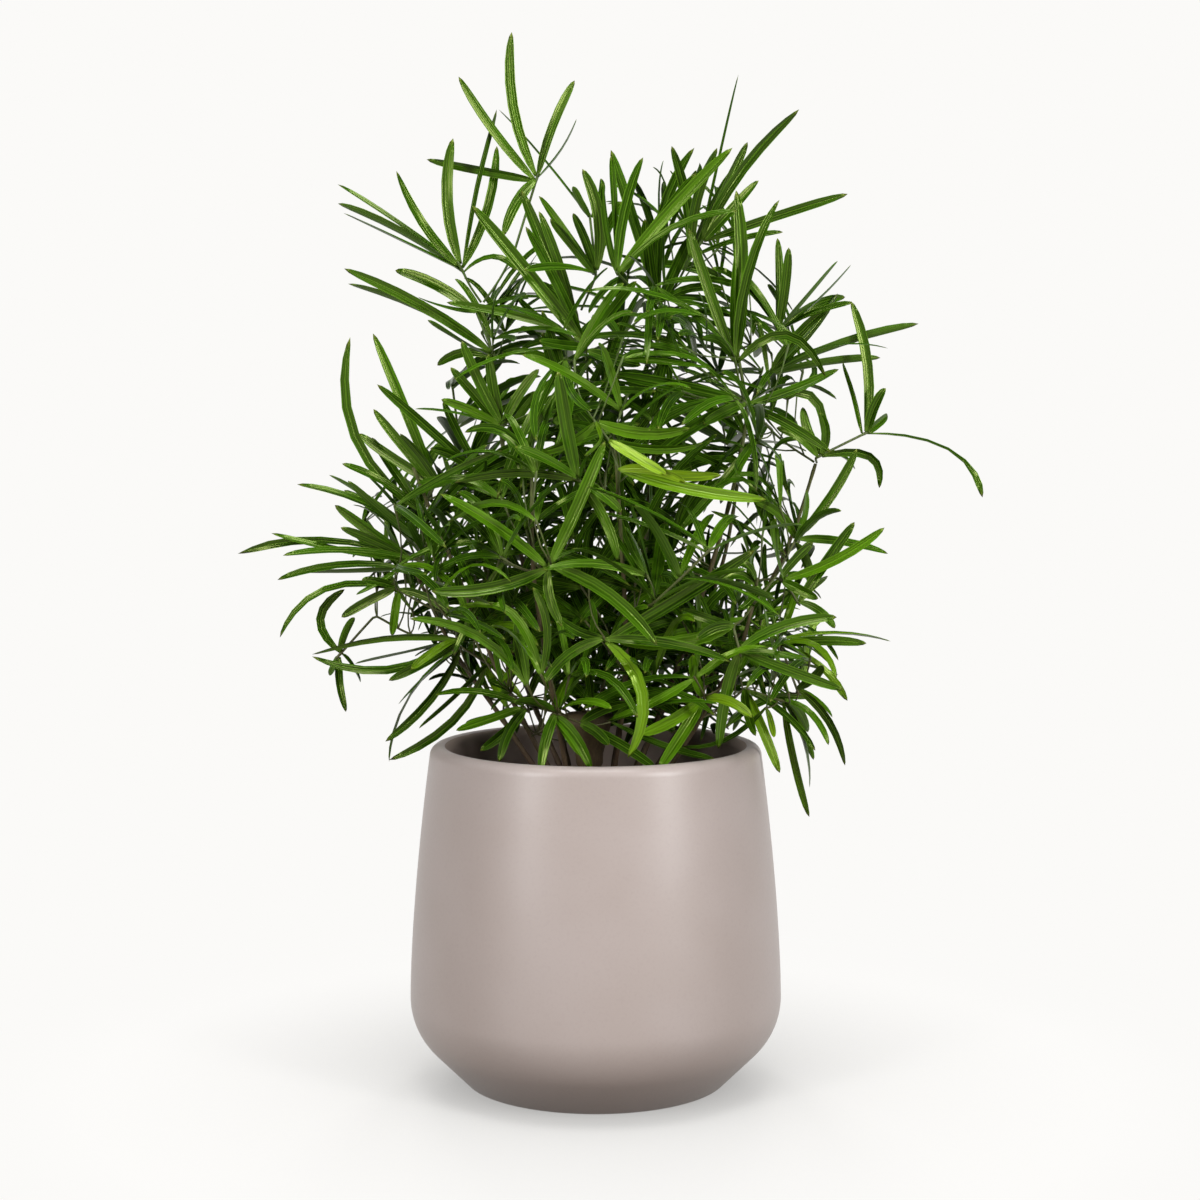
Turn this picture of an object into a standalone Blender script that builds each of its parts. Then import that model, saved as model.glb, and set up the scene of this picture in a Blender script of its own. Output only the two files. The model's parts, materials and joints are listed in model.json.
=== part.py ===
"""A sickle-leaved asparagus fern in a round planter.

The planter stands on the ground plane with its axis on +Z, and its front
faces -Y.  Thin woody canes rise from the potting soil.  Each spray is a side
twig with its whorls of strap leaves, made as one closed body that starts a
small gap away from its cane.

Leaves and stems are drawn on a front elevation, in millimetres, as an eye in
front of the plant sees them.  `seen` turns a drawn point and its depth into a
place in space.
"""

import itertools
import math
import random
from dataclasses import dataclass, field

import bmesh
import bpy
from mathutils import Matrix, Vector
from mathutils.bvhtree import BVHTree

MM = 0.001

# ---------------------------------------------------------------- planter
POT_HEIGHT = 182 * MM
POT_RADIUS = 100 * MM          # widest, a quarter of the way up
FOOT_RADIUS = 70 * MM
FOOT_ROUND = 3 * MM
CHAMFER = math.radians(45)     # slope of the lower cone
SHOULDER = 38.4 * MM           # arc between the cone and the wall
RIM_RADIUS = 89 * MM
WALL_POWER = 1.56              # how the wall leans in towards the rim
WALL = 11.2 * MM
POT_FLOOR = 14 * MM
POT_SIDES = 48

# ------------------------------------------------------------------- soil
SOIL_TOP = 153 * MM
SOIL_DEPTH = 40 * MM
SOIL_CROWN = 3 * MM
GAP = 0.4 * MM

# ----------------------------------------------------------------- stems
CANE_FOOT = 1.5 * MM           # radii
CANE_TIP = 0.9 * MM
CANE_SIDES = 6
TWIG_FOOT = 0.75 * MM
TWIG_TIP = 0.55 * MM
NODE_RADIUS = 1.05 * MM
NODE_HEIGHT = 2.2 * MM
TWIG_SIDES = 5
TWIG_HINT = Vector((0.3, -1, 0.2))
SOCKETS_USED = 3               # leaves on each level of a whorl's node
RISE = 0.6                     # a side twig's usual climb, as a sine

# ---------------------------------------------------------------- leaves
LEAF_THICK = 0.7 * MM
LEAF_WIDTH = 5.0 * MM
CLEARANCE = 0.35 * MM
STATIONS = ((0.34, 0.5), (0.7, 0.44))                                  # place, half width
CURVED_STATIONS = ((0.25, 0.5), (0.48, 0.5), (0.68, 0.46), (0.86, 0.3))
EYE = Vector((2, -1225, 355)) * MM

# Main stems: (x, z) on the elevation and the depth y, from the soil upwards.
CANES = {
    "cane_centre": ((-3, 157, -5), (-5, 250, -9), (-3, 340, -6), (-5, 390, 0), (-8, 412, 4), (1, 436, 6)),
    "cane_left": ((-12, 157, 9), (-28, 230, 12), (-45, 310, 9), (-55, 388, 5), (-60, 416, 4)),
    "cane_right": ((18, 157, 0), (48, 235, -6), (71, 310, -6), (80, 361, 0), (75, 392, 2)),
    "cane_right_low": ((26, 157, 8), (60, 215, 10), (95, 272, 10), (107, 300, 8), (117, 332, 6)),
    "cane_left_mid": ((-18, 157, -6), (-50, 216, -6), (-75, 276, -4), (-90, 312, -2), (-97, 330, 0)),
    "cane_left_low": ((-25, 157, 3), (-50, 195, 6), (-78, 236, 9), (-97, 276, 8)),
    "cane_front_right": ((31, 157, -10), (56, 195, -22), (76, 230, -36), (84, 256, -38)),
    "cane_tall": ((8, 157, 10), (22, 260, 16), (33, 360, 15), (34, 416, 10), (52, 446, 8)),
    "cane_back": ((0, 157, 24), (5, 230, 46), (8, 300, 64), (6, 372, 72)),
    "cane_back_left": ((-15, 157, 22), (-40, 220, 46), (-60, 280, 64), (-70, 332, 72)),
    "cane_back_right": ((17, 157, 23), (45, 220, 46), (68, 280, 62), (78, 340, 68)),
    "cane_front_left": ((-13, 157, -22), (-25, 220, -44), (-33, 272, -58), (-34, 325, -62)),
    "cane_front": ((8, 157, -22), (16, 220, -44), (14, 285, -58), (10, 345, -62)),
}

# Sprays whose leaves show singly.  A whorl is (x, z, y, leaves), and a leaf
# is (tip x, tip z, bow, width seen, tip depth from the whorl, place of the
# bow).  A positive bow leans to the left of the way from whorl to tip.
SPRAYS = {
    "spray_crown": (
        (-43, 444, 2, ()),
        (-31, 482, 0, (
            (-44, 558, 6, 4.8, 4), (-72, 535, 3, 4.4, -8), (-11, 533, 2, 3.6, 8),
            (-89, 492, 1, 3.4, 6), (-49, 452, -2, 4.8, -16), (-10, 513, -3, 2.0, -12))),
    ),
    "spray_upper_left": (
        (-71, 435, -2, (
            (-75, 503, 5, 5.3, -6), (-105, 486, 4, 4.8, -4), (-136, 479, 0, 2.6, 10),
            (-136, 469, -1, 2.0, 18), (-133, 464, 1, 2.6, -10), (-52, 499, -5, 4.4, 8),
            (-52, 518, 2, 1.6, 16), (-42, 434, 6, 1.8, -8, 0.6))),
    ),
    "spray_left_high": (
        (-63, 412, -4, ((-106, 434, -2, 5.2, 12), (-22, 419, 3, 3.2, 8), (-94, 420, 3, 3.6, -14))),
        (-54, 390, -6, (
            (-133, 435, -3, 4.8, -4), (-131, 427, -4, 2.2, 8), (-89, 408, 3, 2.4, -14),
            (-84, 384, -3, 4.2, 14))),
    ),
    "spray_long_light": (
        (-5, 393, -22, (
            (-65, 468, 0, 5.9, -10), (-37, 457, -1, 4.4, 6), (24, 384, -2, 5.2, -12),
            (-30, 397, 2, 4.8, -16), (-76, 376, -6, 2.2, -4))),
    ),
    "spray_centre_high": (
        (-10, 411, -10, (
            (-39, 476, 1, 5.2, 2), (-30, 465, 0, 3.6, -8), (-32, 428, -2, 3.4, -18),
            (-24, 427, 3, 2.8, 10))),
    ),
    "spray_centre_top": (
        (0, 433, -8, (
            (-7, 487, -5, 5.2, -8), (-12, 464, -1, 4.2, 8), (-30, 473, 1, 4.6, 6),
            (-24, 461, 0, 3.4, -6), (-38, 434, 1, 2.8, -14), (14, 470, 2, 3.8, -10))),
        (-3, 462, -2, (
            (-51, 518, 0, 2.0, 10), (-12, 478, 1, 2.0, -4), (3, 482, -2, 2.6, 10))),
    ),
    "spray_bright_top": (
        (12, 432, -24, (
            (25, 493, 3, 4.8, 8), (72, 498, 1, 5.3, -12), (53, 485, 0, 4.8, -2),
            (75, 465, 6, 3.0, -16), (8, 494, 0, 1.8, 12), (4, 480, 2, 3.0, -4))),
    ),
    "spray_tall_middle": (
        (33, 417, -4, (
            (8, 497, 0, 4.8, 12), (52, 498, 8, 5.2, 6), (26, 461, 1, 5.0, -14),
            (50, 452, -1, 5.2, -10), (-14, 426, -4, 4.0, -6), (68, 424, 3, 3.8, -12))),
    ),
    "spray_top_right": (
        (50, 440, -16, (
            (40, 499, -3, 4.8, 6), (64, 498, 4, 4.8, -6), (74, 488, 1, 3.6, 10),
            (99, 454, 1, 2.8, -12))),
        (56, 449, -16, (
            (107, 518, 5, 4.8, -6), (75, 536, 0, 1.8, 4), (80, 501, 0, 3.8, 14),
            (86, 481, -1, 4.8, -14), (133, 474, 0, 3.2, 8))),
    ),
    "spray_big_vertical": (
        (74, 386, -26, (
            (74, 476, -3, 6.2, -6), (78, 457, 2, 4.8, 6), (49, 456, 1, 5.0, -10),
            (97, 471, 5, 4.8, 4), (122, 378, 17, 3.4, -12), (56, 398, -3, 4.2, -10))),
    ),
    "spray_right_upper": (
        (96, 402, -2, (
            (96, 451, -1, 3.8, 4), (102, 446, -1, 4.4, -6), (128, 439, -1, 1.8, 12),
            (135, 437, -3, 1.8, -8), (132, 420, 2, 3.0, 6), (136, 417, 1, 2.2, -10))),
    ),
    "spray_right_fan": (
        (92, 380, 4, (
            (128, 422, -3, 3.2, 12), (124, 415, 2, 4.4, -8), (171, 406, 3, 2.0, 2),
            (155, 393, 5, 2.2, -12), (151, 388, 1, 2.4, 10), (118, 405, 2, 4.4, -18))),
    ),
    "spray_right_sickles": (
        (81, 363, -14, (
            (125, 338, 1, 3.8, -8), (129, 382, -2, 4.8, 6), (121, 339, 20, 3.0, 14, 0.6),
            (31, 336, -2, 5.4, -18), (9, 379, 1, 5.8, -22), (57, 353, 0, 4.8, -10),
            (92, 357, 0, 4.4, -16), (128, 366, 8, 2.0, 16), (62, 398, -2, 4.8, 10))),
    ),
    "spray_far_right": (
        (119, 336, -4, (
            (151, 319, 12, 3.2, -6, 0.8), (110, 362, 2, 4.8, 4), (119, 359, -3, 4.0, -8),
            (138, 329, 3, 3.4, 10), (96, 351, -2, 4.2, -10))),
        (143, 348, 2, (
            (135, 418, -5, 4.8, 0), (154, 372, 1, 4.8, -8), (155, 358, -1, 3.8, 12),
            (131, 386, -1, 1.8, 10), (206, 314, 13, 2.6, -4, 0.7))),
    ),
    "spray_right_mid": (
        (107, 292, -8, (
            (139, 340, -3, 4.4, -8), (156, 284, 2, 4.6, 4), (117, 264, 1, 2.8, 12),
            (100, 334, 1, 2.2, -12), (112, 318, -2, 3.2, 8), (84, 312, -3, 4.4, -16),
            (131, 307, 2, 3.6, -14))),
    ),
    "spray_right_cross": (
        (99, 270, -20, (
            (154, 298, -4, 4.6, -6), (119, 260, -1, 4.6, -12), (116, 290, 1, 3.8, 6),
            (96, 303, 2, 2.6, -6), (80, 246, -2, 3.4, 8))),
        (108, 258, -20, (
            (138, 301, 0, 4.8, 4), (128, 244, 2, 3.4, -8), (124, 272, 1, 3.6, -14))),
    ),
    "spray_right_spider": (
        (86, 268, -42, (
            (72, 280, -3, 1.6, -6), (88, 288, 4, 1.4, 2), (76, 254, 3, 2.0, -8),
            (96, 252, -2, 2.0, 4), (66, 268, -4, 3.6, -10))),
    ),
    "spray_front_right": (
        (74, 245, -58, ((8, 239, 6, 5.8, -6), (45, 254, 1, 4.2, 4), (54, 238, -2, 4.4, -10))),
        (77, 232, -60, (
            (129, 250, 4, 4.8, 4), (133, 211, -1, 4.6, -6), (66, 179, -2, 5.4, 20),
            (113, 226, 1, 3.8, -2))),
    ),
    "spray_front_strap": (
        (5, 238, -68, (
            (85, 286, -2, 5.6, 10), (17, 174, 13, 5.8, -6), (72, 226, 3, 4.8, 12),
            (-28, 214, -4, 4.6, -6), (-20, 250, 3, 4.2, 8))),
    ),
    "spray_front_star": (
        (-25, 277, -74, (
            (5, 344, -1, 5.4, -4), (-83, 316, -2, 5.0, 2), (-88, 264, 5, 5.4, -4),
            (33, 235, 6, 5.6, -4), (-18, 245, -3, 4.0, -8), (2, 286, 2, 2.8, -10))),
    ),
    "spray_young_bright": (
        (12, 329, -78, ((91, 313, -3, 5.6, -4), (67, 326, -2, 4.8, 6), (48, 322, 2, 4.0, -12))),
        (7, 344, -76, ((57, 343, -4, 4.0, 6), (38, 326, -1, 4.4, -10))),
        (0, 354, -74, ((50, 351, -5, 5.4, -8), (-30, 338, 3, 3.4, 4), (-6, 336, 6, 1.6, -6))),
    ),
    "spray_front_upright": (
        (-9, 323, -72, (
            (-20, 381, 1, 5.8, -6), (-75, 322, -4, 3.4, 4), (-43, 341, 0, 3.4, -8),
            (14, 306, 1, 4.2, -8), (12, 280, 3, 4.6, 2))),
    ),
    "spray_left_bright": (
        (-50, 352, -18, (
            (-77, 383, 0, 4.4, 2), (-71, 397, 1, 4.8, -8), (-30, 382, 1, 4.6, -8),
            (-82, 366, -1, 3.4, 10), (-96, 361, -2, 1.8, -6), (-57, 390, 1, 5.2, -14))),
    ),
    "spray_left_top": (
        (-84, 320, 0, (
            (-118, 401, 0, 4.8, 2), (-118, 361, 1, 4.4, -10), (-126, 348, 2, 4.8, 8),
            (-104, 348, -1, 3.8, -8), (-94, 355, 0, 3.8, 12))),
        (-92, 306, 2, (
            (-130, 399, 18, 4.6, -8), (-119, 346, 1, 4.4, 14), (-135, 332, -2, 2.4, -12))),
    ),
    "spray_left_inner": (
        (-63, 328, -12, (
            (-116, 374, 0, 4.4, -4), (-88, 340, -1, 3.8, -12), (-81, 365, 1, 3.4, 8),
            (-38, 340, -2, 4.4, -14))),
    ),
    "spray_far_left_high": (
        (-91, 288, 4, (
            (-159, 321, -6, 2.4, -6), (-142, 326, -2, 2.0, 6), (-134, 318, 0, 3.2, 14),
            (-132, 323, 2, 2.8, -14), (-127, 330, -1, 2.8, 2))),
    ),
    "spray_far_left": (
        (-98, 281, -4, (
            (-139, 310, 1, 4.8, 4), (-136, 298, 0, 3.4, -10), (-173, 295, 3, 3.2, 8),
            (-191, 284, -7, 2.8, -2, 0.55), (-167, 283, -1, 3.2, -12))),
        (-104, 276, -6, ((-170, 270, -4, 3.4, 6), (-159, 274, 2, 2.2, 14), (-128, 262, 2, 3.2, -14))),
    ),
    "spray_left_droop": (
        (-106, 265, -14, (
            (-169, 239, -14, 2.8, -4, 0.55), (-136, 250, -1, 4.4, 6), (-125, 270, 0, 3.4, -10),
            (-109, 240, 0, 3.8, -6), (-75, 250, 2, 3.6, -12), (-128, 284, 1, 3.2, 10))),
    ),
    "spray_left_pendent": (
        (-118, 250, 2, ()),
        (-137, 230, -4, (
            (-129, 250, 1, 2.8, -6), (-134, 199, -2, 3.8, -4), (-143, 219, 1, 2.6, 6),
            (-126, 215, 1, 2.2, 4), (-134, 265, 12, 2.8, 4))),
    ),
    "spray_left_low": (
        (-74, 238, -18, (
            (-152, 229, 12, 4.4, 4), (-152, 230, -4, 3.4, -10), (-129, 225, 1, 1.6, 8),
            (-111, 216, 2, 3.4, -12), (-99, 222, 0, 3.2, 12))),
    ),
    "spray_left_trailing": (
        (-72, 234, 2, (
            (-111, 172, -9, 2.2, 6), (-113, 183, 5, 2.8, -6), (-106, 203, 0, 2.6, 14))),
        (-58, 225, 0, (
            (-111, 173, 10, 3.4, 10, 0.45), (-95, 190, 2, 1.8, -8), (-137, 207, 1, 1.3, 4))),
    ),
    "spray_rim_left": (
        (-46, 210, -22, ((-58, 216, 0, 2.4, -4), (-57, 207, 1, 2.4, 6), (-56, 200, 0, 2.4, -8))),
        (-38, 201, -26, (
            (-75, 189, 1, 4.2, -14), (-70, 193, 1, 2.8, 0), (-86, 208, -3, 3.2, 8),
            (-62, 178, 2, 4.0, -8), (-52, 172, -2, 4.4, -18))),
    ),
    "spray_rim_front": (
        (-22, 198, -46, (
            (-2, 168, 2, 5.2, -14), (-30, 166, -1, 4.8, -18), (-7, 175, 0, 4.0, -8),
            (-44, 204, -2, 3.8, -14), (-10, 222, 2, 4.6, -12))),
        (-8, 193, -48, ((7, 181, 1, 4.6, -8), (33, 168, 1, 4.4, -14), (18, 204, 1, 4.4, -12))),
    ),
    "spray_rim_right": (
        (58, 206, -46, (
            (24, 187, 3, 5.4, -14), (34, 168, 1, 5.4, -12), (52, 230, 2, 4.4, -14),
            (84, 196, 2, 4.4, -10))),
    ),
    "spray_right_hanging": (
        (80, 211, -8, ((99, 166, 0, 4.6, -16), (118, 178, 3, 3.4, -14), (86, 186, -2, 3.8, -26))),
        (100, 205, -10, (
            (115, 142, -1, 3.2, 2), (115, 158, 4, 2.8, -10), (117, 173, 1, 2.2, 8),
            (125, 181, 4, 2.4, -16), (114, 188, 2, 3.2, 14))),
    ),
    "spray_right_outer": (
        (98, 236, 0, (
            (145, 236, 1, 4.6, -8), (158, 237, 4, 2.8, 4), (135, 205, 4, 2.6, 10),
            (129, 217, 8, 1.4, -12))),
        (108, 211, -4, ((134, 170, 5, 3.8, -6), (127, 196, 1, 2.8, 8), (122, 224, -2, 4.0, -16))),
    ),
}

# The leafy volume: height, then its left, right, front and back, in space.
CANOPY = (
    (176, -58, 84, -78, 78),
    (200, -74, 122, -98, 98),
    (230, -100, 128, -108, 110),
    (265, -118, 124, -112, 118),
    (300, -116, 126, -112, 122),
    (340, -104, 124, -106, 118),
    (380, -80, 118, -96, 106),
    (420, -62, 104, -80, 90),
    (450, -38, 98, -62, 68),
    (480, -16, 80, -42, 46),
    (500, 6, 58, -22, 24),
)

# Sprays that only fill the volume: whorls (x, z, y) in space.
FILL_SPRAYS = {
    "spray_back_top": ((12, 396, 84), (15, 416, 78), (18, 436, 68)),
    "spray_back_left": ((-72, 330, 84), (-78, 352, 76), (-80, 374, 62)),
    "spray_back_right": ((80, 340, 82), (86, 360, 72), (92, 382, 58)),
    "spray_back_middle": ((8, 306, 82), (7, 324, 92), (5, 344, 98)),
    "spray_back_low": ((8, 226, 62), (10, 240, 78), (12, 256, 92)),
    "spray_back_low_left": ((-50, 222, 58), (-60, 236, 72), (-70, 254, 84)),
    "spray_back_low_right": ((56, 218, 60), (68, 230, 74), (80, 250, 84)),
    "spray_front_low": ((30, 264, -70), (42, 276, -80), (56, 290, -84)),
}
FILL_LEAVES = 5

LEAF_GREEN = (0.032, 0.120, 0.012)
STEM_BROWN = (0.150, 0.090, 0.045)
POT_GREIGE = (0.480, 0.420, 0.395)
SOIL_DARK = (0.030, 0.020, 0.014)


# ------------------------------------------------------------- the layout
@dataclass
class Leaf:
    """A strap leaf along a curve with three control points."""

    base: Vector
    control: Vector
    tip: Vector
    normal: Vector
    width: float
    sections: list = field(default_factory=list)

    def point(self, t):
        return self.base.lerp(self.control, t).lerp(self.control.lerp(self.tip, t), t)

    def tangent(self, t):
        return (self.control - self.base).lerp(self.tip - self.control, t).normalized()

    def section(self, t, half_width, half_thick):
        """Four corners round the leaf at t, anticlockwise as seen from its tip."""
        along = self.tangent(t)
        normal = (self.normal - along * self.normal.dot(along)).normalized()
        side = along.cross(normal) * half_width
        lift = normal * half_thick
        at = self.point(t)
        return [at + side + lift, at + side - lift, at - side - lift, at - side + lift]

    def rings(self, foot, spare=0.0):
        """The sections of the solid leaf, each turned to follow on from its foot."""
        middle = (self.base + self.tip) / 2
        curved = (self.control - middle).length > 0.2 * (self.tip - self.base).length
        stations = CURVED_STATIONS if curved else STATIONS
        before, rings = foot, []
        for t, share in stations:
            corners = self.section(t, self.width * share + spare, LEAF_THICK / 2 + spare)
            shift = self.point(t) - sum(before, Vector()) / 4
            first = min(range(4), key=lambda k: sum(
                (before[i] + shift - corners[(i + k) % 4]).length for i in range(4)))
            before = [corners[(i + first) % 4] for i in range(4)]
            rings.append(before)
        return rings


@dataclass
class Socket:
    """A face of a whorl's node, from which one leaf can grow."""

    level: int
    side: int
    corners: list
    centre: Vector
    normal: Vector
    leaf: Leaf = None


@dataclass
class Spray:
    """A twig as a stack of rings, and for each whorl its leaf sockets."""

    name: str
    rings: list
    sockets: list


def seen(x, z, y):
    """The place of an elevation point that lies at depth y, all in mm."""
    y *= MM
    reach = (y - EYE.y) / -EYE.y
    return Vector((EYE.x + (x * MM - EYE.x) * reach, y, EYE.z + (z * MM - EYE.z) * reach))


def smooth_route(points, spacing):
    """Points at about the given spacing on a smooth curve through the route."""
    ends = [points[0] * 2 - points[1], *points, points[-1] * 2 - points[-2]]
    route = []
    for a, b, c, d in zip(ends, ends[1:], ends[2:], ends[3:]):
        steps = max(1, round((c - b).length / spacing))
        for step in range(steps):
            t = step / steps
            route.append(0.5 * (b * 2 + (c - a) * t + (a * 2 - b * 5 + c * 4 - d) * t**2
                                + (b * 3 - a - c * 3 + d) * t**3))
    return route + [points[-1]]


def ring_corners(centre, axis, hint, sides, radius):
    """The corners of a ring round an axis, the first one towards the hint."""
    u = (hint - axis * hint.dot(axis)).normalized()
    v = axis.cross(u)
    return [centre + (u * math.cos(a) + v * math.sin(a)) * radius
            for a in (math.tau * i / sides for i in range(sides))]


@dataclass
class Shape:
    """A surface to be tested for crossings."""

    corners: list
    faces: list
    owner: str = ""

    def __post_init__(self):
        self.tree = BVHTree.FromPolygons(self.corners, self.faces)
        self.low = [min(c[i] for c in self.corners) for i in range(3)]
        self.high = [max(c[i] for c in self.corners) for i in range(3)]

    def crosses(self, other, touching):
        """Whether two surfaces cross, apart from faces that share a corner if they may touch."""
        if any(self.low[i] > other.high[i] or self.high[i] < other.low[i] for i in range(3)):
            return False
        pairs = self.tree.overlap(other.tree)
        if not touching:
            return bool(pairs)
        return any(not any((self.corners[i] - other.corners[j]).length < 1e-7
                           for i in self.faces[a] for j in other.faces[b]) for a, b in pairs)


def stacked(rings, owner=""):
    """The surface between rings of corners."""
    count = len(rings[0])
    corners = [corner for ring in rings for corner in ring]
    faces = [(count * i + j, count * i + (j + 1) % count, count * (i + 1) + (j + 1) % count, count * (i + 1) + j)
             for i in range(len(rings) - 1) for j in range(count)]
    return Shape(corners, faces, owner)


def stem_rings(route, radius, hint, sides):
    """Rings along a route, each turned to follow on from the one before."""
    rings = []
    for i, point in enumerate(route):
        axis = (route[min(i + 1, len(route) - 1)] - route[max(i - 1, 0)]).normalized()
        rings.append(ring_corners(point, axis, hint, sides, radius(i / (len(route) - 1))))
        hint = rings[-1][0] - point
    return rings


class Room:
    """What already stands where, so that no two pieces cross."""

    def __init__(self):
        self.taken = []

    def is_free(self, shape, only=None, but=(), touching=False):
        """Whether a shape crosses nothing, of one owner only or of all but some."""
        return not any(shape.crosses(other, touching) for other in self.taken
                       if other.owner not in but and (not only or other.owner == only))


def in_canopy(p):
    """Whether a point lies in the leafy volume."""
    z = p.z / MM
    for low, high in zip(CANOPY, CANOPY[1:]):
        if low[0] <= z <= high[0]:
            t = (z - low[0]) / (high[0] - low[0])
            left, right, front, back = (a + (b - a) * t for a, b in zip(low[1:], high[1:]))
            x = (p.x / MM - (left + right) / 2) / ((right - left) / 2)
            y = (p.y / MM - (front + back) / 2) / ((back - front) / 2)
            return abs(x) ** 2.4 + abs(y) ** 2.4 < 1
    return False


def drawn_leaf(centre, spec, turn):
    """A leaf from its entry in the table, for a whorl at the centre."""
    x, z, bow, shown, depth, place = (*spec, 0.5)[:6]
    tip = seen(x, z, centre.y / MM + depth)
    chord = tip - centre
    left = Vector((-chord.z, 0, chord.x)).normalized()
    lift = Vector((0, -0.10 * abs(depth) * MM, 0.18 * abs(depth) * MM))
    control = centre + chord * place + left * (2 * bow * MM) + lift
    width = max(shown * MM, LEAF_WIDTH * 0.86)
    roll = math.acos(min(1, shown * MM / width)) * turn
    along = (control - centre).normalized()
    view = Vector((0, -1, 0.25))
    normal = Matrix.Rotation(roll, 3, along) @ (view - along * view.dot(along)).normalized()
    return Leaf(centre.copy(), control, tip, normal, width)


def filling_leaf(rng, centre, axis):
    """A leaf of a fill spray: out and up, then drooping a little."""
    side = Matrix.Rotation(rng.uniform(0, math.tau), 3, axis) @ axis.orthogonal().normalized()
    spread = math.radians(rng.uniform(45, 85))
    way = axis * math.cos(spread) + side * math.sin(spread)
    length = rng.uniform(48, 74) * MM
    tip = centre + way * length - Vector((0, 0, length * rng.uniform(0.0, 0.28)))
    control = centre + way * length * 0.55 + Vector((0, 0, length * rng.uniform(0.0, 0.1)))
    up = Vector((rng.uniform(-0.5, 0.5), rng.uniform(-0.5, 0.5), 1))
    along = (control - centre).normalized()
    normal = (up - along * up.dot(along)).normalized()
    return Leaf(centre.copy(), control, tip, normal, rng.uniform(4.2, 5.6) * MM)


def settle(leaf, whorl, room, name):
    """Put a leaf on the socket that looks its way, if it crosses nothing there."""
    way = leaf.tangent(0.15)
    centre = leaf.base.copy()
    free = [s for s in whorl if not s.leaf and s.normal.angle(way) < math.radians(85)]
    for socket in sorted(free, key=lambda s: s.normal.angle(way))[:8]:
        leaf.base = socket.centre.copy()
        start = [socket.centre.lerp(c, 0.85) + socket.normal * 0.1 * MM for c in socket.corners]
        point = [leaf.tip] * 4
        leaf.sections = leaf.rings(socket.corners)
        exact = stacked([socket.corners, *leaf.sections, point], name)
        clear = stacked([start, *leaf.sections, point])
        wide = stacked([start, *leaf.rings(start, CLEARANCE), point])
        if (room.is_free(exact, only=name, touching=True) and room.is_free(clear, only=name, touching=True)
                and room.is_free(wide, but=(name,))):
            socket.leaf = leaf
            room.taken.append(exact)
            return True
    leaf.base = centre
    return False


def plan_canes(room):
    canes = {}
    for name, rows in CANES.items():
        points = [seen(*row) for row in rows]
        points[0].z = SOIL_TOP + SOIL_CROWN + GAP
        canes[name] = smooth_route(points, 32 * MM)
        room.taken.append(stacked(cane_rings(canes[name]), name))
    return canes


def cane_rings(route):
    """The rings of a cane, the lowest one level."""
    across = Vector((1, 0, 0))
    foot = ring_corners(route[0], Vector((0, 0, 1)), across, CANE_SIDES, CANE_FOOT)
    return [foot, *stem_rings(route, cane_radius, across, CANE_SIDES)[1:]]


def cane_radius(t):
    return CANE_FOOT + (CANE_TIP - CANE_FOOT) * t


def feet_on_canes(canes, hubs, count=5):
    """The best places on the canes for a twig that goes through the hubs."""
    def cost(entry):
        way = hubs[0] - entry[1]
        turn = way.angle(hubs[1] - hubs[0]) if len(hubs) > 1 else 0
        return (way.length * (1 + 3 * (way.z / way.length - RISE) ** 2)
                * (1 + turn + max(0, turn - math.radians(75)) * 12))
    return sorted(((n, p) for n, route in canes.items() for p in route[1:]), key=cost)[:count]


def plan_twig(name, centres, counts, canes, room):
    """The twig of a spray, moved in depth until it clears every other stem."""
    shifts = (0, -3, 3, -6, 6, -9, 9, -13, 13, -17, 17)
    for shift, choice in ((s, c) for s in shifts for c in range(5)):
        hubs = [c + Vector((0, shift * MM, 0)) for c in centres]
        cane, foot = feet_on_canes(canes, hubs)[choice]
        away = (hubs[0] - foot).normalized()
        start = foot + away * (CANE_FOOT + TWIG_FOOT + GAP)
        bend = start.lerp(hubs[0], 0.5) - Vector((0, 0, (hubs[0] - start).length * 0.06))
        before = hubs[-2] if len(hubs) > 1 else bend
        route = [start, bend, *hubs, hubs[-1] + (hubs[-1] - before).normalized() * 2.5 * MM]
        thick = stacked(stem_rings(route, lambda t: NODE_RADIUS + CLEARANCE, TWIG_HINT, TWIG_SIDES))
        spray = twig_with_sockets(name, route, counts)
        exact = stacked(spray.rings, name)
        if room.is_free(thick, but=(cane,)) and room.is_free(exact):
            room.taken.append(exact)
            return spray
    return None


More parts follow.
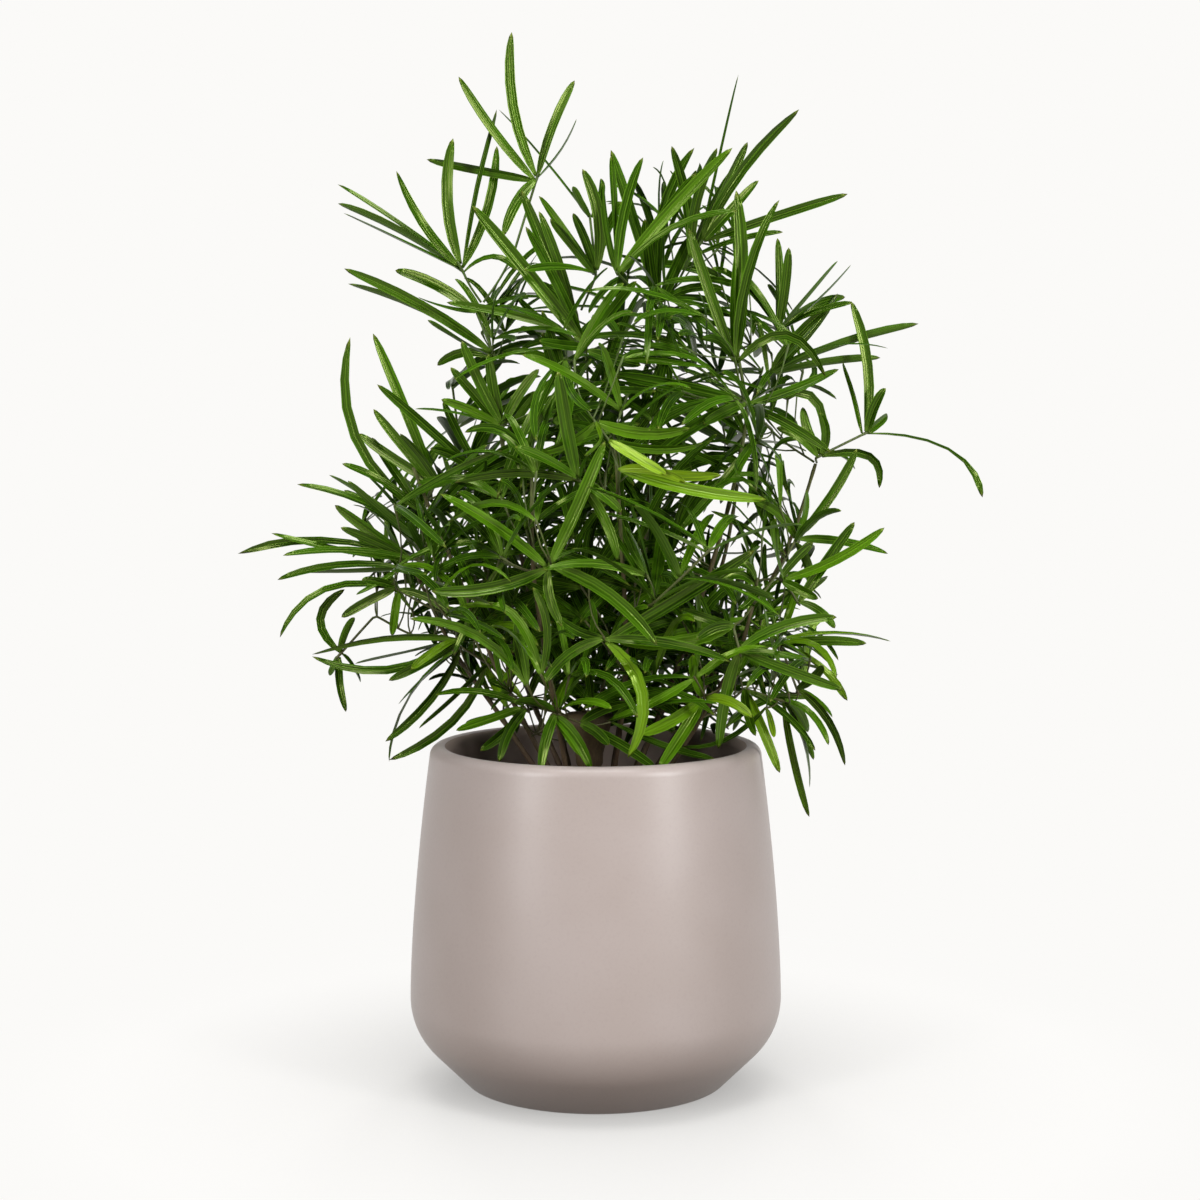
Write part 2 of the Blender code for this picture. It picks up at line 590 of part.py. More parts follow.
def twig_with_sockets(name, route, counts):
    """The rings of a twig along its route, and the sockets of every whorl."""
    stops = [(route[0], (route[1] - route[0]).normalized(), TWIG_FOOT)]
    if (route[2] - route[1]).length > NODE_HEIGHT * (counts[0] / SOCKETS_USED / 2 + 1.5):
        stops.append((route[1], (route[2] - route[0]).normalized(), TWIG_FOOT))
    spans = []
    for i, (hub, count) in enumerate(zip(route[2:], counts), 2):
        axis = (route[i + 1] - route[i - 1]).normalized()
        levels = max(1, math.ceil(count / SOCKETS_USED))
        spans.append((len(stops), len(stops) + levels))
        for level in range(levels + 1):
            radius = NODE_RADIUS * (0.8 if level in (0, levels) else 1)
            stops.append((hub + axis * NODE_HEIGHT * (level - levels / 2), axis, radius))
    stops.append((stops[-1][0] + axis * NODE_HEIGHT / 2, axis, NODE_RADIUS * 0.4))
    rings, hint = [], TWIG_HINT
    for centre, axis, radius in stops:
        rings.append(ring_corners(centre, axis, hint, TWIG_SIDES, radius))
        hint = rings[-1][0] - centre
    sockets = []
    for first, last in spans:
        whorl = []
        for level, side in itertools.product(range(first, last), range(TWIG_SIDES)):
            after = (side + 1) % TWIG_SIDES
            corners = [rings[level][side], rings[level][after], rings[level + 1][after], rings[level + 1][side]]
            normal = (corners[1] - corners[0]).cross(corners[3] - corners[0]).normalized()
            whorl.append(Socket(level, side, corners, sum(corners, Vector()) / 4, normal))
        sockets.append(whorl)
    return Spray(name, rings, sockets)


def plan_sprays(canes, room):
    drawn, filled = [], []
    for name, rows in SPRAYS.items():
        spray = plan_twig(name, [seen(x, z, y) for x, z, y, _ in rows], [len(row[3]) for row in rows], canes, room)
        if spray:
            drawn.append((spray, rows))
    for name, rows in FILL_SPRAYS.items():
        centres = [Vector((x, y, z)) * MM for x, z, y in rows]
        spray = plan_twig(name, centres, [FILL_LEAVES] * len(rows), canes, room)
        if spray:
            filled.append((spray, centres))
    depths = (0, -4, 4, -8, 8, -12, 12, -17, 17, -22, 22, -28, 28)
    for spray, rows in drawn:
        for whorl, row in zip(spray.sockets, rows):
            centre = sum((s.centre for s in whorl), Vector()) / len(whorl)
            for index, spec in enumerate(row[3]):
                for change in depths:
                    moved = (*spec[:4], spec[4] + change, *spec[5:])
                    if settle(drawn_leaf(centre, moved, -1 if index % 2 else 1), whorl, room, spray.name):
                        break
    for spray, centres in filled:
        rng = random.Random(spray.name)
        for whorl, centre in zip(spray.sockets, centres):
            axis = (whorl[-1].centre - whorl[0].centre + Vector((0, 0, MM))).normalized()
            for _ in range(120):
                if sum(1 for s in whorl if s.leaf) == FILL_LEAVES:
                    break
                leaf = filling_leaf(rng, whorl[0].centre.lerp(whorl[-1].centre, 0.5), axis)
                if in_canopy(leaf.tip) and in_canopy(leaf.control):
                    settle(leaf, whorl, room, spray.name)
    return [spray for spray, _ in drawn + filled]


# -------------------------------------------------------------- the solids
def finish(bm, name, colour, roughness, smooth):
    """A named object with its own material from a bmesh."""
    bmesh.ops.recalc_face_normals(bm, faces=bm.faces)
    mesh = bpy.data.meshes.new(name)
    bm.to_mesh(mesh)
    bm.free()
    if smooth:
        mesh.shade_smooth()
        mesh.set_sharp_from_angle(angle=math.radians(35))
    material = bpy.data.materials.new(name)
    material.use_nodes = True
    shader = material.node_tree.nodes["Principled BSDF"]
    shader.inputs["Base Color"].default_value = (*colour, 1)
    shader.inputs["Roughness"].default_value = roughness
    shader.inputs["Metallic"].default_value = 0
    mesh.materials.append(material)
    obj = bpy.data.objects.new(name, mesh)
    bpy.context.scene.collection.objects.link(obj)
    return obj


def arc(centre, radius, start, end, steps):
    """Points (r, z) on an arc, angles in degrees from +r."""
    cr, cz = centre
    angles = (math.radians(start + (end - start) * i / steps) for i in range(steps + 1))
    return [(cr + radius * math.cos(a), cz + radius * math.sin(a)) for a in angles]


def spun(name, profile, sides, colour, roughness):
    """A solid of revolution whose profile starts and ends on the axis."""
    bm = bmesh.new()
    verts = [bm.verts.new((r, 0, z)) for r, z in profile]
    edges = [bm.edges.new(pair) for pair in zip(verts, verts[1:])]
    bmesh.ops.spin(bm, geom=verts + edges, cent=(0, 0, 0), axis=(0, 0, 1), dvec=(0, 0, 0),
                   angle=math.tau, steps=sides, use_merge=True)
    bmesh.ops.remove_doubles(bm, verts=bm.verts, dist=1e-6)
    return finish(bm, name, colour, roughness, True)


def shoulder_height():
    """Where the shoulder's arc turns into the wall."""
    cone_end = POT_RADIUS - SHOULDER + SHOULDER * math.sin(CHAMFER)
    return math.tan(CHAMFER) * (cone_end - FOOT_RADIUS) + SHOULDER * math.cos(CHAMFER)


def wall_radius(z):
    """The planter's outer radius above its shoulder."""
    low = shoulder_height()
    t = (z - low) / (POT_HEIGHT - WALL / 2 - low)
    return POT_RADIUS - (POT_RADIUS - RIM_RADIUS) * t**WALL_POWER


def inner_radius(z):
    return wall_radius(max(z, shoulder_height())) - WALL


def make_pot():
    low = shoulder_height()
    lip = POT_HEIGHT - WALL / 2
    outside = [(0, 0), (FOOT_RADIUS - FOOT_ROUND, 0)]
    outside += arc((FOOT_RADIUS - FOOT_ROUND * 0.4, FOOT_ROUND), FOOT_ROUND, -90, -45, 2)[1:]
    outside += arc((POT_RADIUS - SHOULDER, low), SHOULDER, -45, 0, 4)
    outside += [(wall_radius(low + (lip - low) * i / 6), low + (lip - low) * i / 6) for i in range(1, 6)]
    rim = arc((RIM_RADIUS - WALL / 2, lip), WALL / 2, 0, 180, 5)
    inside = [(inner_radius(z), z) for z in (SOIL_TOP, SOIL_TOP - SOIL_DEPTH, low)]
    floor = arc((POT_RADIUS - SHOULDER, low), SHOULDER - WALL, 0, -55, 2)[1:]
    bottom = [(floor[-1][0] - 14 * MM, POT_FLOOR), (0, POT_FLOOR)]
    return spun("planter", outside + rim + inside + floor + bottom, POT_SIDES, POT_GREIGE, 0.42)


def make_soil():
    low = SOIL_TOP - SOIL_DEPTH
    profile = [(0, low), (inner_radius(low) - GAP, low), (inner_radius(SOIL_TOP) - GAP, SOIL_TOP),
               (36 * MM, SOIL_TOP + SOIL_CROWN * 0.8), (0, SOIL_TOP + SOIL_CROWN)]
    return spun("potting_soil", profile, 32, SOIL_DARK, 0.95)


def skin(bm, rings):
    """Side faces between rings, by level and side, with both ends capped."""
    loops = [[bm.verts.new(corner) for corner in ring] for ring in rings]
    levels = []
    for low, high in zip(loops, loops[1:]):
        count = len(low)
        levels.append([bm.faces.new((low[i], low[(i + 1) % count], high[(i + 1) % count], high[i]))
                       for i in range(count)])
    bm.faces.new(reversed(loops[0]))
    bm.faces.new(loops[-1])
    return levels


def make_cane(name, route):
    bm = bmesh.new()
    skin(bm, cane_rings(route))
    return finish(bm, name, STEM_BROWN, 0.7, True)


def grow_leaf(bm, face, leaf):
    """Extrude a leaf from a face of its whorl: flat sections, then a point."""
    for section in leaf.sections:
        face = bmesh.ops.extrude_discrete_faces(bm, faces=[face])["faces"][0]
        for vert, corner in zip(face.verts, section):
            vert.co = corner
    face = bmesh.ops.extrude_discrete_faces(bm, faces=[face])["faces"][0]
    bmesh.ops.pointmerge(bm, verts=list(face.verts), merge_co=leaf.tip)


def make_spray(spray):
    """The twig of a spray with all its leaves, as one closed body."""
    bm = bmesh.new()
    levels = skin(bm, spray.rings)
    for socket in itertools.chain(*spray.sockets):
        if socket.leaf:
            grow_leaf(bm, levels[socket.level][socket.side], socket.leaf)
    return finish(bm, spray.name, LEAF_GREEN, 0.4, False)


def main():
    for obj in list(bpy.data.objects):
        bpy.data.objects.remove(obj)
    plant = bpy.data.objects.new("potted_fern", None)
    bpy.context.scene.collection.objects.link(plant)

    pieces = [make_pot(), make_soil()]
    room = Room()
    for piece in pieces:
        mesh = piece.data
        room.taken.append(Shape([v.co.copy() for v in mesh.vertices], [tuple(p.vertices) for p in mesh.polygons],
                                piece.name))
    canes = plan_canes(room)
    sprays = plan_sprays(canes, room)
    pieces += [make_cane(name, route) for name, route in canes.items()]
    pieces += [make_spray(spray) for spray in sprays]
    for piece in pieces:
        piece.parent = plant


if __name__ == "__main__":
    main()
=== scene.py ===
"""A potted asparagus fern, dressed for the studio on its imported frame."""

import itertools
import json
import logging
import math
import random
from collections.abc import Iterable, Sequence
from dataclasses import dataclass, field
from enum import Enum

import bmesh
import bpy
from mathutils import Matrix, Vector, noise
from mathutils.bvhtree import BVHTree

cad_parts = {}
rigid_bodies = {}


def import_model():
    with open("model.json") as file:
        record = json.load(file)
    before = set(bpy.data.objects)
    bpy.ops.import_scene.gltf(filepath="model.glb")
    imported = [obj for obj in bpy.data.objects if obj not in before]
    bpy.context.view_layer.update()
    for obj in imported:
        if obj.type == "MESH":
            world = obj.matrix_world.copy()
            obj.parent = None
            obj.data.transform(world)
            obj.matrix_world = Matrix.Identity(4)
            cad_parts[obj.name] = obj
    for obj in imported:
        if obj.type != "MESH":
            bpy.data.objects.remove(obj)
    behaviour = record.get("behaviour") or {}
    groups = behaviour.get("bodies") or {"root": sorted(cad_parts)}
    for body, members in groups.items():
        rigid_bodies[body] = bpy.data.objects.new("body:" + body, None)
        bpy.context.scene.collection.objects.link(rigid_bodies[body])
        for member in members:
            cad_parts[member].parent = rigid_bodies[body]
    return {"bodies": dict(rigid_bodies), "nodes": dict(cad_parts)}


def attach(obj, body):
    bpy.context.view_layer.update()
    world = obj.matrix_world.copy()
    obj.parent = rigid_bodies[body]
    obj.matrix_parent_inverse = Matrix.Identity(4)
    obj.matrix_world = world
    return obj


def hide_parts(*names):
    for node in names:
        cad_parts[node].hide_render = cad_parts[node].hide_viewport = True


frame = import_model()
log = logging.getLogger("potted_fern")

MM = 0.001
UP = Vector((0, 0, 1))
TINY = 1e-6  # points closer than this are one point
SMOOTH = {"interpolation_type": "SMOOTHSTEP"}  # a MapRange node with soft ends
COLOURS = {"data_type": "RGBA"}  # a Mix node for colours


# ------------------------------------------------------------------ finishes
def linear(colour: str) -> tuple[float, float, float, float]:
    """Turn an sRGB hex colour into a linear one.

    Args:
        colour: The colour as "#rrggbb".

    Returns:
        Red, green, blue and an alpha of 1.
    """
    parts = (int(colour[i:i + 2], 16) / 255 for i in (1, 3, 5))
    return (*(p / 12.92 if p <= 0.04045 else ((p + 0.055) / 1.055) ** 2.4 for p in parts), 1.0)


def feed(node: bpy.types.Node, inputs: dict) -> None:
    """Set or link the inputs of a shader node.

    Args:
        node: The node.
        inputs: A value, a socket to link from, or a node to link from, by the input's name or index.
    """
    for key, value in inputs.items():
        if isinstance(value, bpy.types.Node):
            value = next(socket for socket in value.outputs if socket.enabled)
        if isinstance(value, bpy.types.NodeSocket):
            node.id_data.links.new(value, node.inputs[key])
        else:
            node.inputs[key].default_value = value


def add(tree: bpy.types.NodeTree, kind: str, inputs: dict | None = None, stops: Sequence = (),
        **settings: object) -> bpy.types.Node:
    """Add a shader node with its settings and links.

    Args:
        tree: The material's node tree.
        kind: The node's type, without its ShaderNode prefix.
        inputs: What feeds each input.
        stops: Places and hex colours of a colour ramp.
        settings: Properties of the node itself.

    Returns:
        The new node.
    """
    node = tree.nodes.new("ShaderNode" + kind)
    for name, value in settings.items():
        setattr(node, name, value)
    feed(node, inputs or {})
    for index, (place, colour) in enumerate(stops):
        band = node.color_ramp.elements
        stop = band[index] if index < 2 else band.new(place)
        stop.position, stop.color = place, linear(colour)
    return node


@dataclass(frozen=True)
class Finish:
    """A material that starts from its real surface's gloss."""

    name: str
    roughness: float
    ior: float

    def start(self) -> tuple[bpy.types.Material, bpy.types.NodeTree, bpy.types.Node]:
        """Make the material with its shader.

        Returns:
            The material, its node tree and its shader.
        """
        material = bpy.data.materials.new(self.name)
        material.use_nodes = True
        shader = material.node_tree.nodes["Principled BSDF"]
        feed(shader, {"Roughness": self.roughness, "IOR": self.ior})
        return material, material.node_tree, shader


@dataclass(frozen=True)
class WaxyCladode(Finish):
    """Waxy cladode skin, as grown: thin wax over fine parallel veins.

    The wax gives long soft glints, and the veins a silky grain along the blade. The midrib and the
    edges are paler, the underside is greyer and duller, and young growth is yellow green.
    """

    wax: float = 0.52
    glint: str = "#dcef88"
    ages: tuple[tuple[float, str], ...] = (  # the colour of a blade from old to young
        (0.0, "#122901"), (0.25, "#1b3901"), (0.5, "#2c5002"), (0.75, "#4f7a07"), (1.0, "#86a918"))
    vein_spacing: float = 1.2 * MM  # drawn coarser than the real 0.4 mm, to show
    blade_width: float = 5.0 * MM
    mottle: float = 14 * MM

    def make(self) -> bpy.types.Material:
        """Make the material, from the blade's own map and its age.

        Returns:
            The material.
        """
        material, tree, shader = self.start()
        tone = add(tree, "Attribute", attribute_name="tone")
        age, under, chance = add(tree, "SeparateColor", {0: tone.outputs["Color"]}).outputs[:3]
        across, along = add(tree, "SeparateXYZ", {0: add(tree, "UVMap", uv_map="blade")}).outputs[:2]
        offset = add(tree, "Math", {0: across, 1: 0.5}, operation="SUBTRACT")
        aside = add(tree, "Math", {0: offset}, operation="ABSOLUTE")

        turns = add(tree, "Math", {0: across, 1: math.tau * self.blade_width / self.vein_spacing},
                    operation="MULTIPLY")
        wave = add(tree, "Math", {0: turns}, operation="SINE")
        veins = add(tree, "MapRange", {0: wave, 1: 0.0, 2: 1.0})
        midrib, rim, tip, base = (
            add(tree, "MapRange", {0: value, 1: start, 2: end}, **SMOOTH) for value, start, end in (
                (aside, 0.07, 0.01), (aside, 0.41, 0.48), (along, 0.94, 1.0), (along, 0.16, 0.0)))

        grain_at = add(tree, "CombineXYZ", {
            axis: add(tree, "Math", {0: value, 1: times}, operation="MULTIPLY")
            for axis, (value, times) in enumerate(((across, 6.0), (along, 1.6), (chance, 60.0)))})
        grain = add(tree, "TexNoise", {"Vector": grain_at, "Scale": 1.0, "Detail": 3.0})
        deep, pale = (add(tree, "MapRange", {0: grain, 1: start, 2: end}, **SMOOTH)
                      for start, end in ((0.42, 0.66), (0.50, 0.32)))
        place = add(tree, "TexCoord").outputs["Object"]
        patch = add(tree, "TexNoise", {"Vector": place, "Scale": 1 / self.mottle, "Detail": 2.0})

        colour = add(tree, "ValToRGB", {0: age}, stops=self.ages)
        for share, strength, shade in (
                (deep, 0.62, "#0f2101"), (pale, 0.34, "#487a0c"), (patch, 0.20, "#3b6008"),
                (veins, 0.18, "#68922a"), (rim, 0.46, "#669420"), (midrib, 0.34, "#749e2a"),
                (base, 0.40, "#6f9034"), (tip, 0.4, "#8c8a3e"), (under, 0.35, "#456720")):
            fac = add(tree, "Math", {0: share, 1: strength}, operation="MULTIPLY")
            colour = add(tree, "Mix", {0: fac, 6: colour, 7: linear(shade)}, **COLOURS)

        dull = add(tree, "Math", {0: under, 1: 0.18, 2: self.roughness}, operation="MULTIPLY_ADD")
        uneven = add(tree, "Math", {0: grain, 1: 0.10, 2: dull}, operation="MULTIPLY_ADD")
        ridge = add(tree, "Math", {0: midrib, 1: -1.5, 2: veins}, operation="MULTIPLY_ADD")
        bump = add(tree, "Bump", {"Strength": 0.5, "Distance": 0.10 * MM, "Height": ridge})
        feed(shader, {"Base Color": colour, "Roughness": uneven, "Normal": bump,
                      "Specular IOR Level": self.wax, "Specular Tint": linear(self.glint)})
        return material


@dataclass(frozen=True)
class StemSkin(Finish):
    """Stem skin, as grown: green at the tips, ripened to brown bark at the foot.

    Fine lengthwise ridges and dark specks keep it dull beside the waxy blades.
    """

    foot: str = "#4c3826"
    middle: str = "#574f2a"
    top: str = "#62802f"
    groove: str = "#35271a"
    ripe_from: float = 240 * MM
    ripe_to: float = 520 * MM
    patch: float = 30 * MM
    stray: float = 180 * MM  # how far a patch shifts where the stem ripens
    ridge: float = 0.6 * MM

    def make(self) -> bpy.types.Material:
        """Make the material, ripened by height above the soil.

        Returns:
            The material.
        """
        material, tree, shader = self.start()
        place = add(tree, "TexCoord").outputs["Object"]
        height = add(tree, "SeparateXYZ", {0: place}).outputs[2]
        patch = add(tree, "TexNoise", {"Vector": place, "Scale": 1 / self.patch, "Detail": 3.0})
        shift = add(tree, "Math", {0: patch, 1: self.stray, 2: height}, operation="MULTIPLY_ADD")
        share = add(tree, "MapRange", {0: shift, 1: self.ripe_from, 2: self.ripe_to})
        ripe = add(tree, "ValToRGB", {0: share},
                   stops=((0.0, self.foot), (0.45, self.middle), (1.0, self.top)))
        along = add(tree, "Mapping", {"Vector": place, "Scale": (1.0, 1.0, 0.12)})
        ridges = add(tree, "TexNoise", {"Vector": along, "Scale": 1 / self.ridge, "Detail": 3.0})
        dark = add(tree, "MapRange", {0: ridges, 1: 0.62, 2: 0.42, 4: 0.55})
        colour = add(tree, "Mix", {0: dark, 6: ripe, 7: linear(self.groove)}, **COLOURS)
        bump = add(tree, "Bump", {"Strength": 0.6, "Distance": 0.2 * MM, "Height": ridges})
        feed(shader, {"Base Color": colour, "Normal": bump})
        return material


@dataclass(frozen=True)
class SatinGlaze(Finish):
    """Matt satin glaze on stoneware, sprayed and fired.

    It gives broad soft highlights, a faint cloudiness where the coat varies and a fine dry grain. Its
    foot is warmer and darker towards the floor: painted shade.
    """

    body: str = "#a99e9a"
    cloud: str = "#a1958f"
    speck: str = "#8d817b"
    # the foot's colour and the height where it fades out: painted shade towards the floor
    thin: str = "#6b5d54"
    foot_shade_to: float = 46 * MM
    clouds: float = 40 * MM
    grain: float = 1.6 * MM  # drawn coarser than the real 0.3 mm, to show

    def make(self) -> bpy.types.Material:
        """Make the material.

        Returns:
            The material.
        """
        material, tree, shader = self.start()
        place = add(tree, "TexCoord").outputs["Object"]
        cloudy = add(tree, "TexNoise", {"Vector": place, "Scale": 1 / self.clouds, "Detail": 2.0,
                                        "Roughness": 0.4})
        fine = add(tree, "TexNoise", {"Vector": place, "Scale": 1 / self.grain, "Detail": 2.0})
        share = add(tree, "MapRange", {0: cloudy, 1: 0.2, 2: 0.8, 4: 0.5}, **SMOOTH)
        body = add(tree, "Mix", {0: share, 6: linear(self.body), 7: linear(self.cloud)}, **COLOURS)
        speck = add(tree, "MapRange", {0: fine, 1: 0.5, 2: 0.75, 4: 0.10})
        grained = add(tree, "Mix", {0: speck, 6: body, 7: linear(self.speck)}, **COLOURS)
        height = add(tree, "SeparateXYZ", {0: place}).outputs[2]
        # painted shade: the foot turns warmer and darker towards the floor
        painted_foot_shade = add(tree, "MapRange", {0: height, 1: self.foot_shade_to, 2: 0.0, 4: 0.5}, **SMOOTH)
        colour = add(tree, "Mix", {0: painted_foot_shade, 6: grained, 7: linear(self.thin)}, **COLOURS)
        gloss = add(tree, "MapRange", {0: fine, 1: 0.2, 2: 0.8, 3: self.roughness - 0.03,
                                       4: self.roughness + 0.03})
        bump = add(tree, "Bump", {"Strength": 0.25, "Distance": 0.05 * MM, "Height": fine})
        feed(shader, {"Base Color": colour, "Roughness": gloss, "Normal": bump})
        return material


@dataclass(frozen=True)
class PottingMix(Finish):
    """Potting mix, as filled: crumbs of peat and bark, dry on top. It is dark and has no gloss."""

    dark: str = "#1d1510"
    middle: str = "#33261b"
    light: str = "#5a4634"
    crumb: float = 3 * MM

    def make(self) -> bpy.types.Material:
        """Make the material.

        Returns:
            The material.
        """
        material, tree, shader = self.start()
        place = add(tree, "TexCoord").outputs["Object"]
        crumbs = add(tree, "TexVoronoi", {"Vector": place, "Scale": 1 / self.crumb})
        dust = add(tree, "TexNoise", {"Vector": place, "Scale": 2 / self.crumb, "Detail": 5.0})
        share = add(tree, "Mix", {0: 0.5, 6: crumbs.outputs["Color"], 7: dust.outputs["Color"]}, **COLOURS)
        tint = add(tree, "ValToRGB", {0: share},
                   stops=((0.25, self.dark), (0.8, self.light), (0.5, self.middle)))
        bump = add(tree, "Bump", {"Strength": 0.8, "Distance": 1.0 * MM, "Height": dust})
        feed(shader, {"Base Color": tint, "Normal": bump})
        return material


# -------------------------------------------------------------------- plants
@dataclass
class Shape:
    """A surface that other pieces mustn't cross."""

    corners: list[Vector]
    faces: list[tuple[int, ...]]

    def __post_init__(self) -> None:
        """Work out the surface's tree and its box."""
        self.tree = BVHTree.FromPolygons(self.corners, self.faces)
        self.low = [min(c[i] for c in self.corners) for i in range(3)]
        self.high = [max(c[i] for c in self.corners) for i in range(3)]

    @classmethod
    def of(cls, mesh: bpy.types.Mesh) -> "Shape":
        """The surface of a finished mesh."""
        return cls([v.co.copy() for v in mesh.vertices], [tuple(p.vertices) for p in mesh.polygons])


@dataclass
class Room:
    """What already stands where, kept by the cells of a coarse grid."""

    cell: float = 30 * MM
    cells: dict[tuple[int, ...], list[Shape]] = field(default_factory=dict)

    def keys(self, shape: Shape) -> Iterable[tuple[int, ...]]:
        """The grid cells that a shape's box reaches."""
        return itertools.product(*(range(int(a // self.cell), int(b // self.cell) + 1)
                                   for a, b in zip(shape.low, shape.high)))

    def put(self, shape: Shape) -> None:
        """Keep a shape."""
        for key in self.keys(shape):
            self.cells.setdefault(key, []).append(shape)

    def is_free(self, shape: Shape) -> bool:
        """Tell whether there is room for a shape.

        Args:
            shape: The shape to test.

        Returns:
            True where it crosses nothing that is already there.
        """
        near = {id(other): other for key in self.keys(shape) for other in self.cells.get(key, ())}
        return not any(all(shape.low[i] < other.high[i] and shape.high[i] > other.low[i] for i in range(3))
                       and shape.tree.overlap(other.tree) for other in near.values())


@dataclass
class Blade:
    """One leaf-like cladode: a strap on a curve with three control points."""

    base: Vector
    control: Vector
    tip: Vector
    normal: Vector
    width: float
    age: float = 0.4
    chance: float = 0.5
    twist: float = 0.0
    fold: float = 0.2
    inner: bool = False

    def point(self, t: float) -> Vector:
        """The midrib at t."""
        return self.base.lerp(self.control, t).lerp(self.control.lerp(self.tip, t), t)

    def sides(self, t: float) -> tuple[Vector, Vector]:
        """The blade's own directions at t.

        Args:
            t: The place along the blade, from 0 to 1.

        Returns:
            The way across the blade and the way out of its upper face.
        """
        along = (self.control - self.base).lerp(self.tip - self.control, t).normalized()
        normal = (self.normal - along * self.normal.dot(along)).normalized()
        normal.rotate(Matrix.Rotation(self.twist * t, 3, along))
        return along.cross(normal), normal

    def ribbon(self, start: float = 0.12) -> Shape:
        """The blade as a flat ribbon, to test what it crosses.

        Args:
            start: The place along the blade where it begins.

        Returns:
            The ribbon.
        """
        corners = []
        for t in (start, 0.3, 0.5, 0.7, 0.88, 1.0):
            across = self.sides(t)[0] * self.width * (0.56 if t < 0.8 else 0.3)
            corners += [self.point(t) - across, self.point(t) + across]
        return Shape(corners, [(i, i + 1, i + 3, i + 2) for i in range(0, 10, 2)])

    def forecourt(self, depth: float) -> Shape:
        """The space in front of the blade, to keep open: a sheet from its midrib forward.

        Args:
            depth: How far forward it reaches.

        Returns:
            The sheet.
        """
        corners = []
        for t in (0.15, 0.4, 0.65, 0.9):
            middle = self.point(t)
            corners += [middle + Vector((0, -2 * MM, 0)), middle + Vector((0, -depth, 0.07 * depth))]
        return Shape(corners, [(i, i + 1, i + 3, i + 2) for i in range(0, 6, 2)])


@dataclass
class Stem:
    """A round stem along a route, with a radius at each point."""

    route: list[Vector]
    radii: list[float]
    around: int = 7

    def smoothed(self, spacing: float) -> "Stem":
        """Smooth the stem's route.

        Args:
            spacing: How far apart its points are, about.

        Returns:
            The same stem with a smooth route and evenly spaced points.
        """
        route, radii = self.route, self.radii
        ends = [route[0] * 2 - route[1], *route, route[-1] * 2 - route[-2]]
        way, sizes = [], []
        for i, (a, b, c, d) in enumerate(zip(ends, ends[1:], ends[2:], ends[3:])):
            steps = max(1, round((c - b).length / spacing))
            for t in (step / steps for step in range(steps)):
                way.append(0.5 * (b * 2 + (c - a) * t + (a * 2 - b * 5 + c * 4 - d) * t**2
                                  + (b * 3 - a - c * 3 + d) * t**3))
                sizes.append(radii[i] + (radii[i + 1] - radii[i]) * t)
        return Stem([*way, route[-1]], [*sizes, radii[-1]], self.around)

    def grow(self, bm: bmesh.types.BMesh) -> None:
        """Grow the stem's closed skin, face by face from a short cylinder.

        Args:
            bm: The mesh of the piece that the stem belongs to.
        """
        verts = bmesh.ops.create_cone(bm, cap_ends=True, segments=self.around, radius1=1, radius2=1,
                                      depth=1)["verts"]
        cap = next(f for f in verts[-1].link_faces if all(v.co.z > 0 for v in f.verts))
        round_cap = [v.co.copy() for v in cap.verts]
        foot = [v for v in verts if v.co.z < 0]
        spots = {v: v.co.copy() for v in foot}
        across = UP.orthogonal()
        for i, (point, radius) in enumerate(zip(self.route, self.radii)):
            along = (self.route[min(i + 1, len(self.route) - 1)] - self.route[max(i - 1, 0)]).normalized()
            across = (across - along * across.dot(along)).normalized()
            other = along.cross(across)
            if i > 1:
                cap = bmesh.ops.extrude_discrete_faces(bm, faces=[cap])["faces"][0]
            places = spots.items() if i == 0 else zip(cap.verts, round_cap)
            for vert, spot in places:
                vert.co = point + (across * spot.x + other * spot.y) * radius

    def tube(self, spare: float) -> Shape:
        """The stem as a three-sided tube, to test what crosses it.

        Args:
            spare: How much wider than the stem it is.

        Returns:
            The tube.
        """
        corners = []
        for point, radius in zip(self.route, self.radii):
            corners += [point + Vector((math.cos(a), math.sin(a), 0.3 * math.cos(a))) * (radius + spare)
                        for a in (0.3, 2.4, 4.5)]
        sides = [(ring + i, ring + (i + 1) % 3) for ring in range(0, len(corners) - 3, 3) for i in range(3)]
        return Shape(corners, [(a, b, b + 3, a + 3) for a, b in sides])

    def beyond_foot(self) -> "Stem":
        """The stem without its first stretch, which starts inside its twig."""
        return Stem(self.route[1:], self.radii[1:])


class Growth(Enum):
    """How ripe a spray is, as the age tone of its blades."""

    YOUNG = 0.84
    FRESH = 0.56
    GROWN = 0.37
    OLD = 0.22


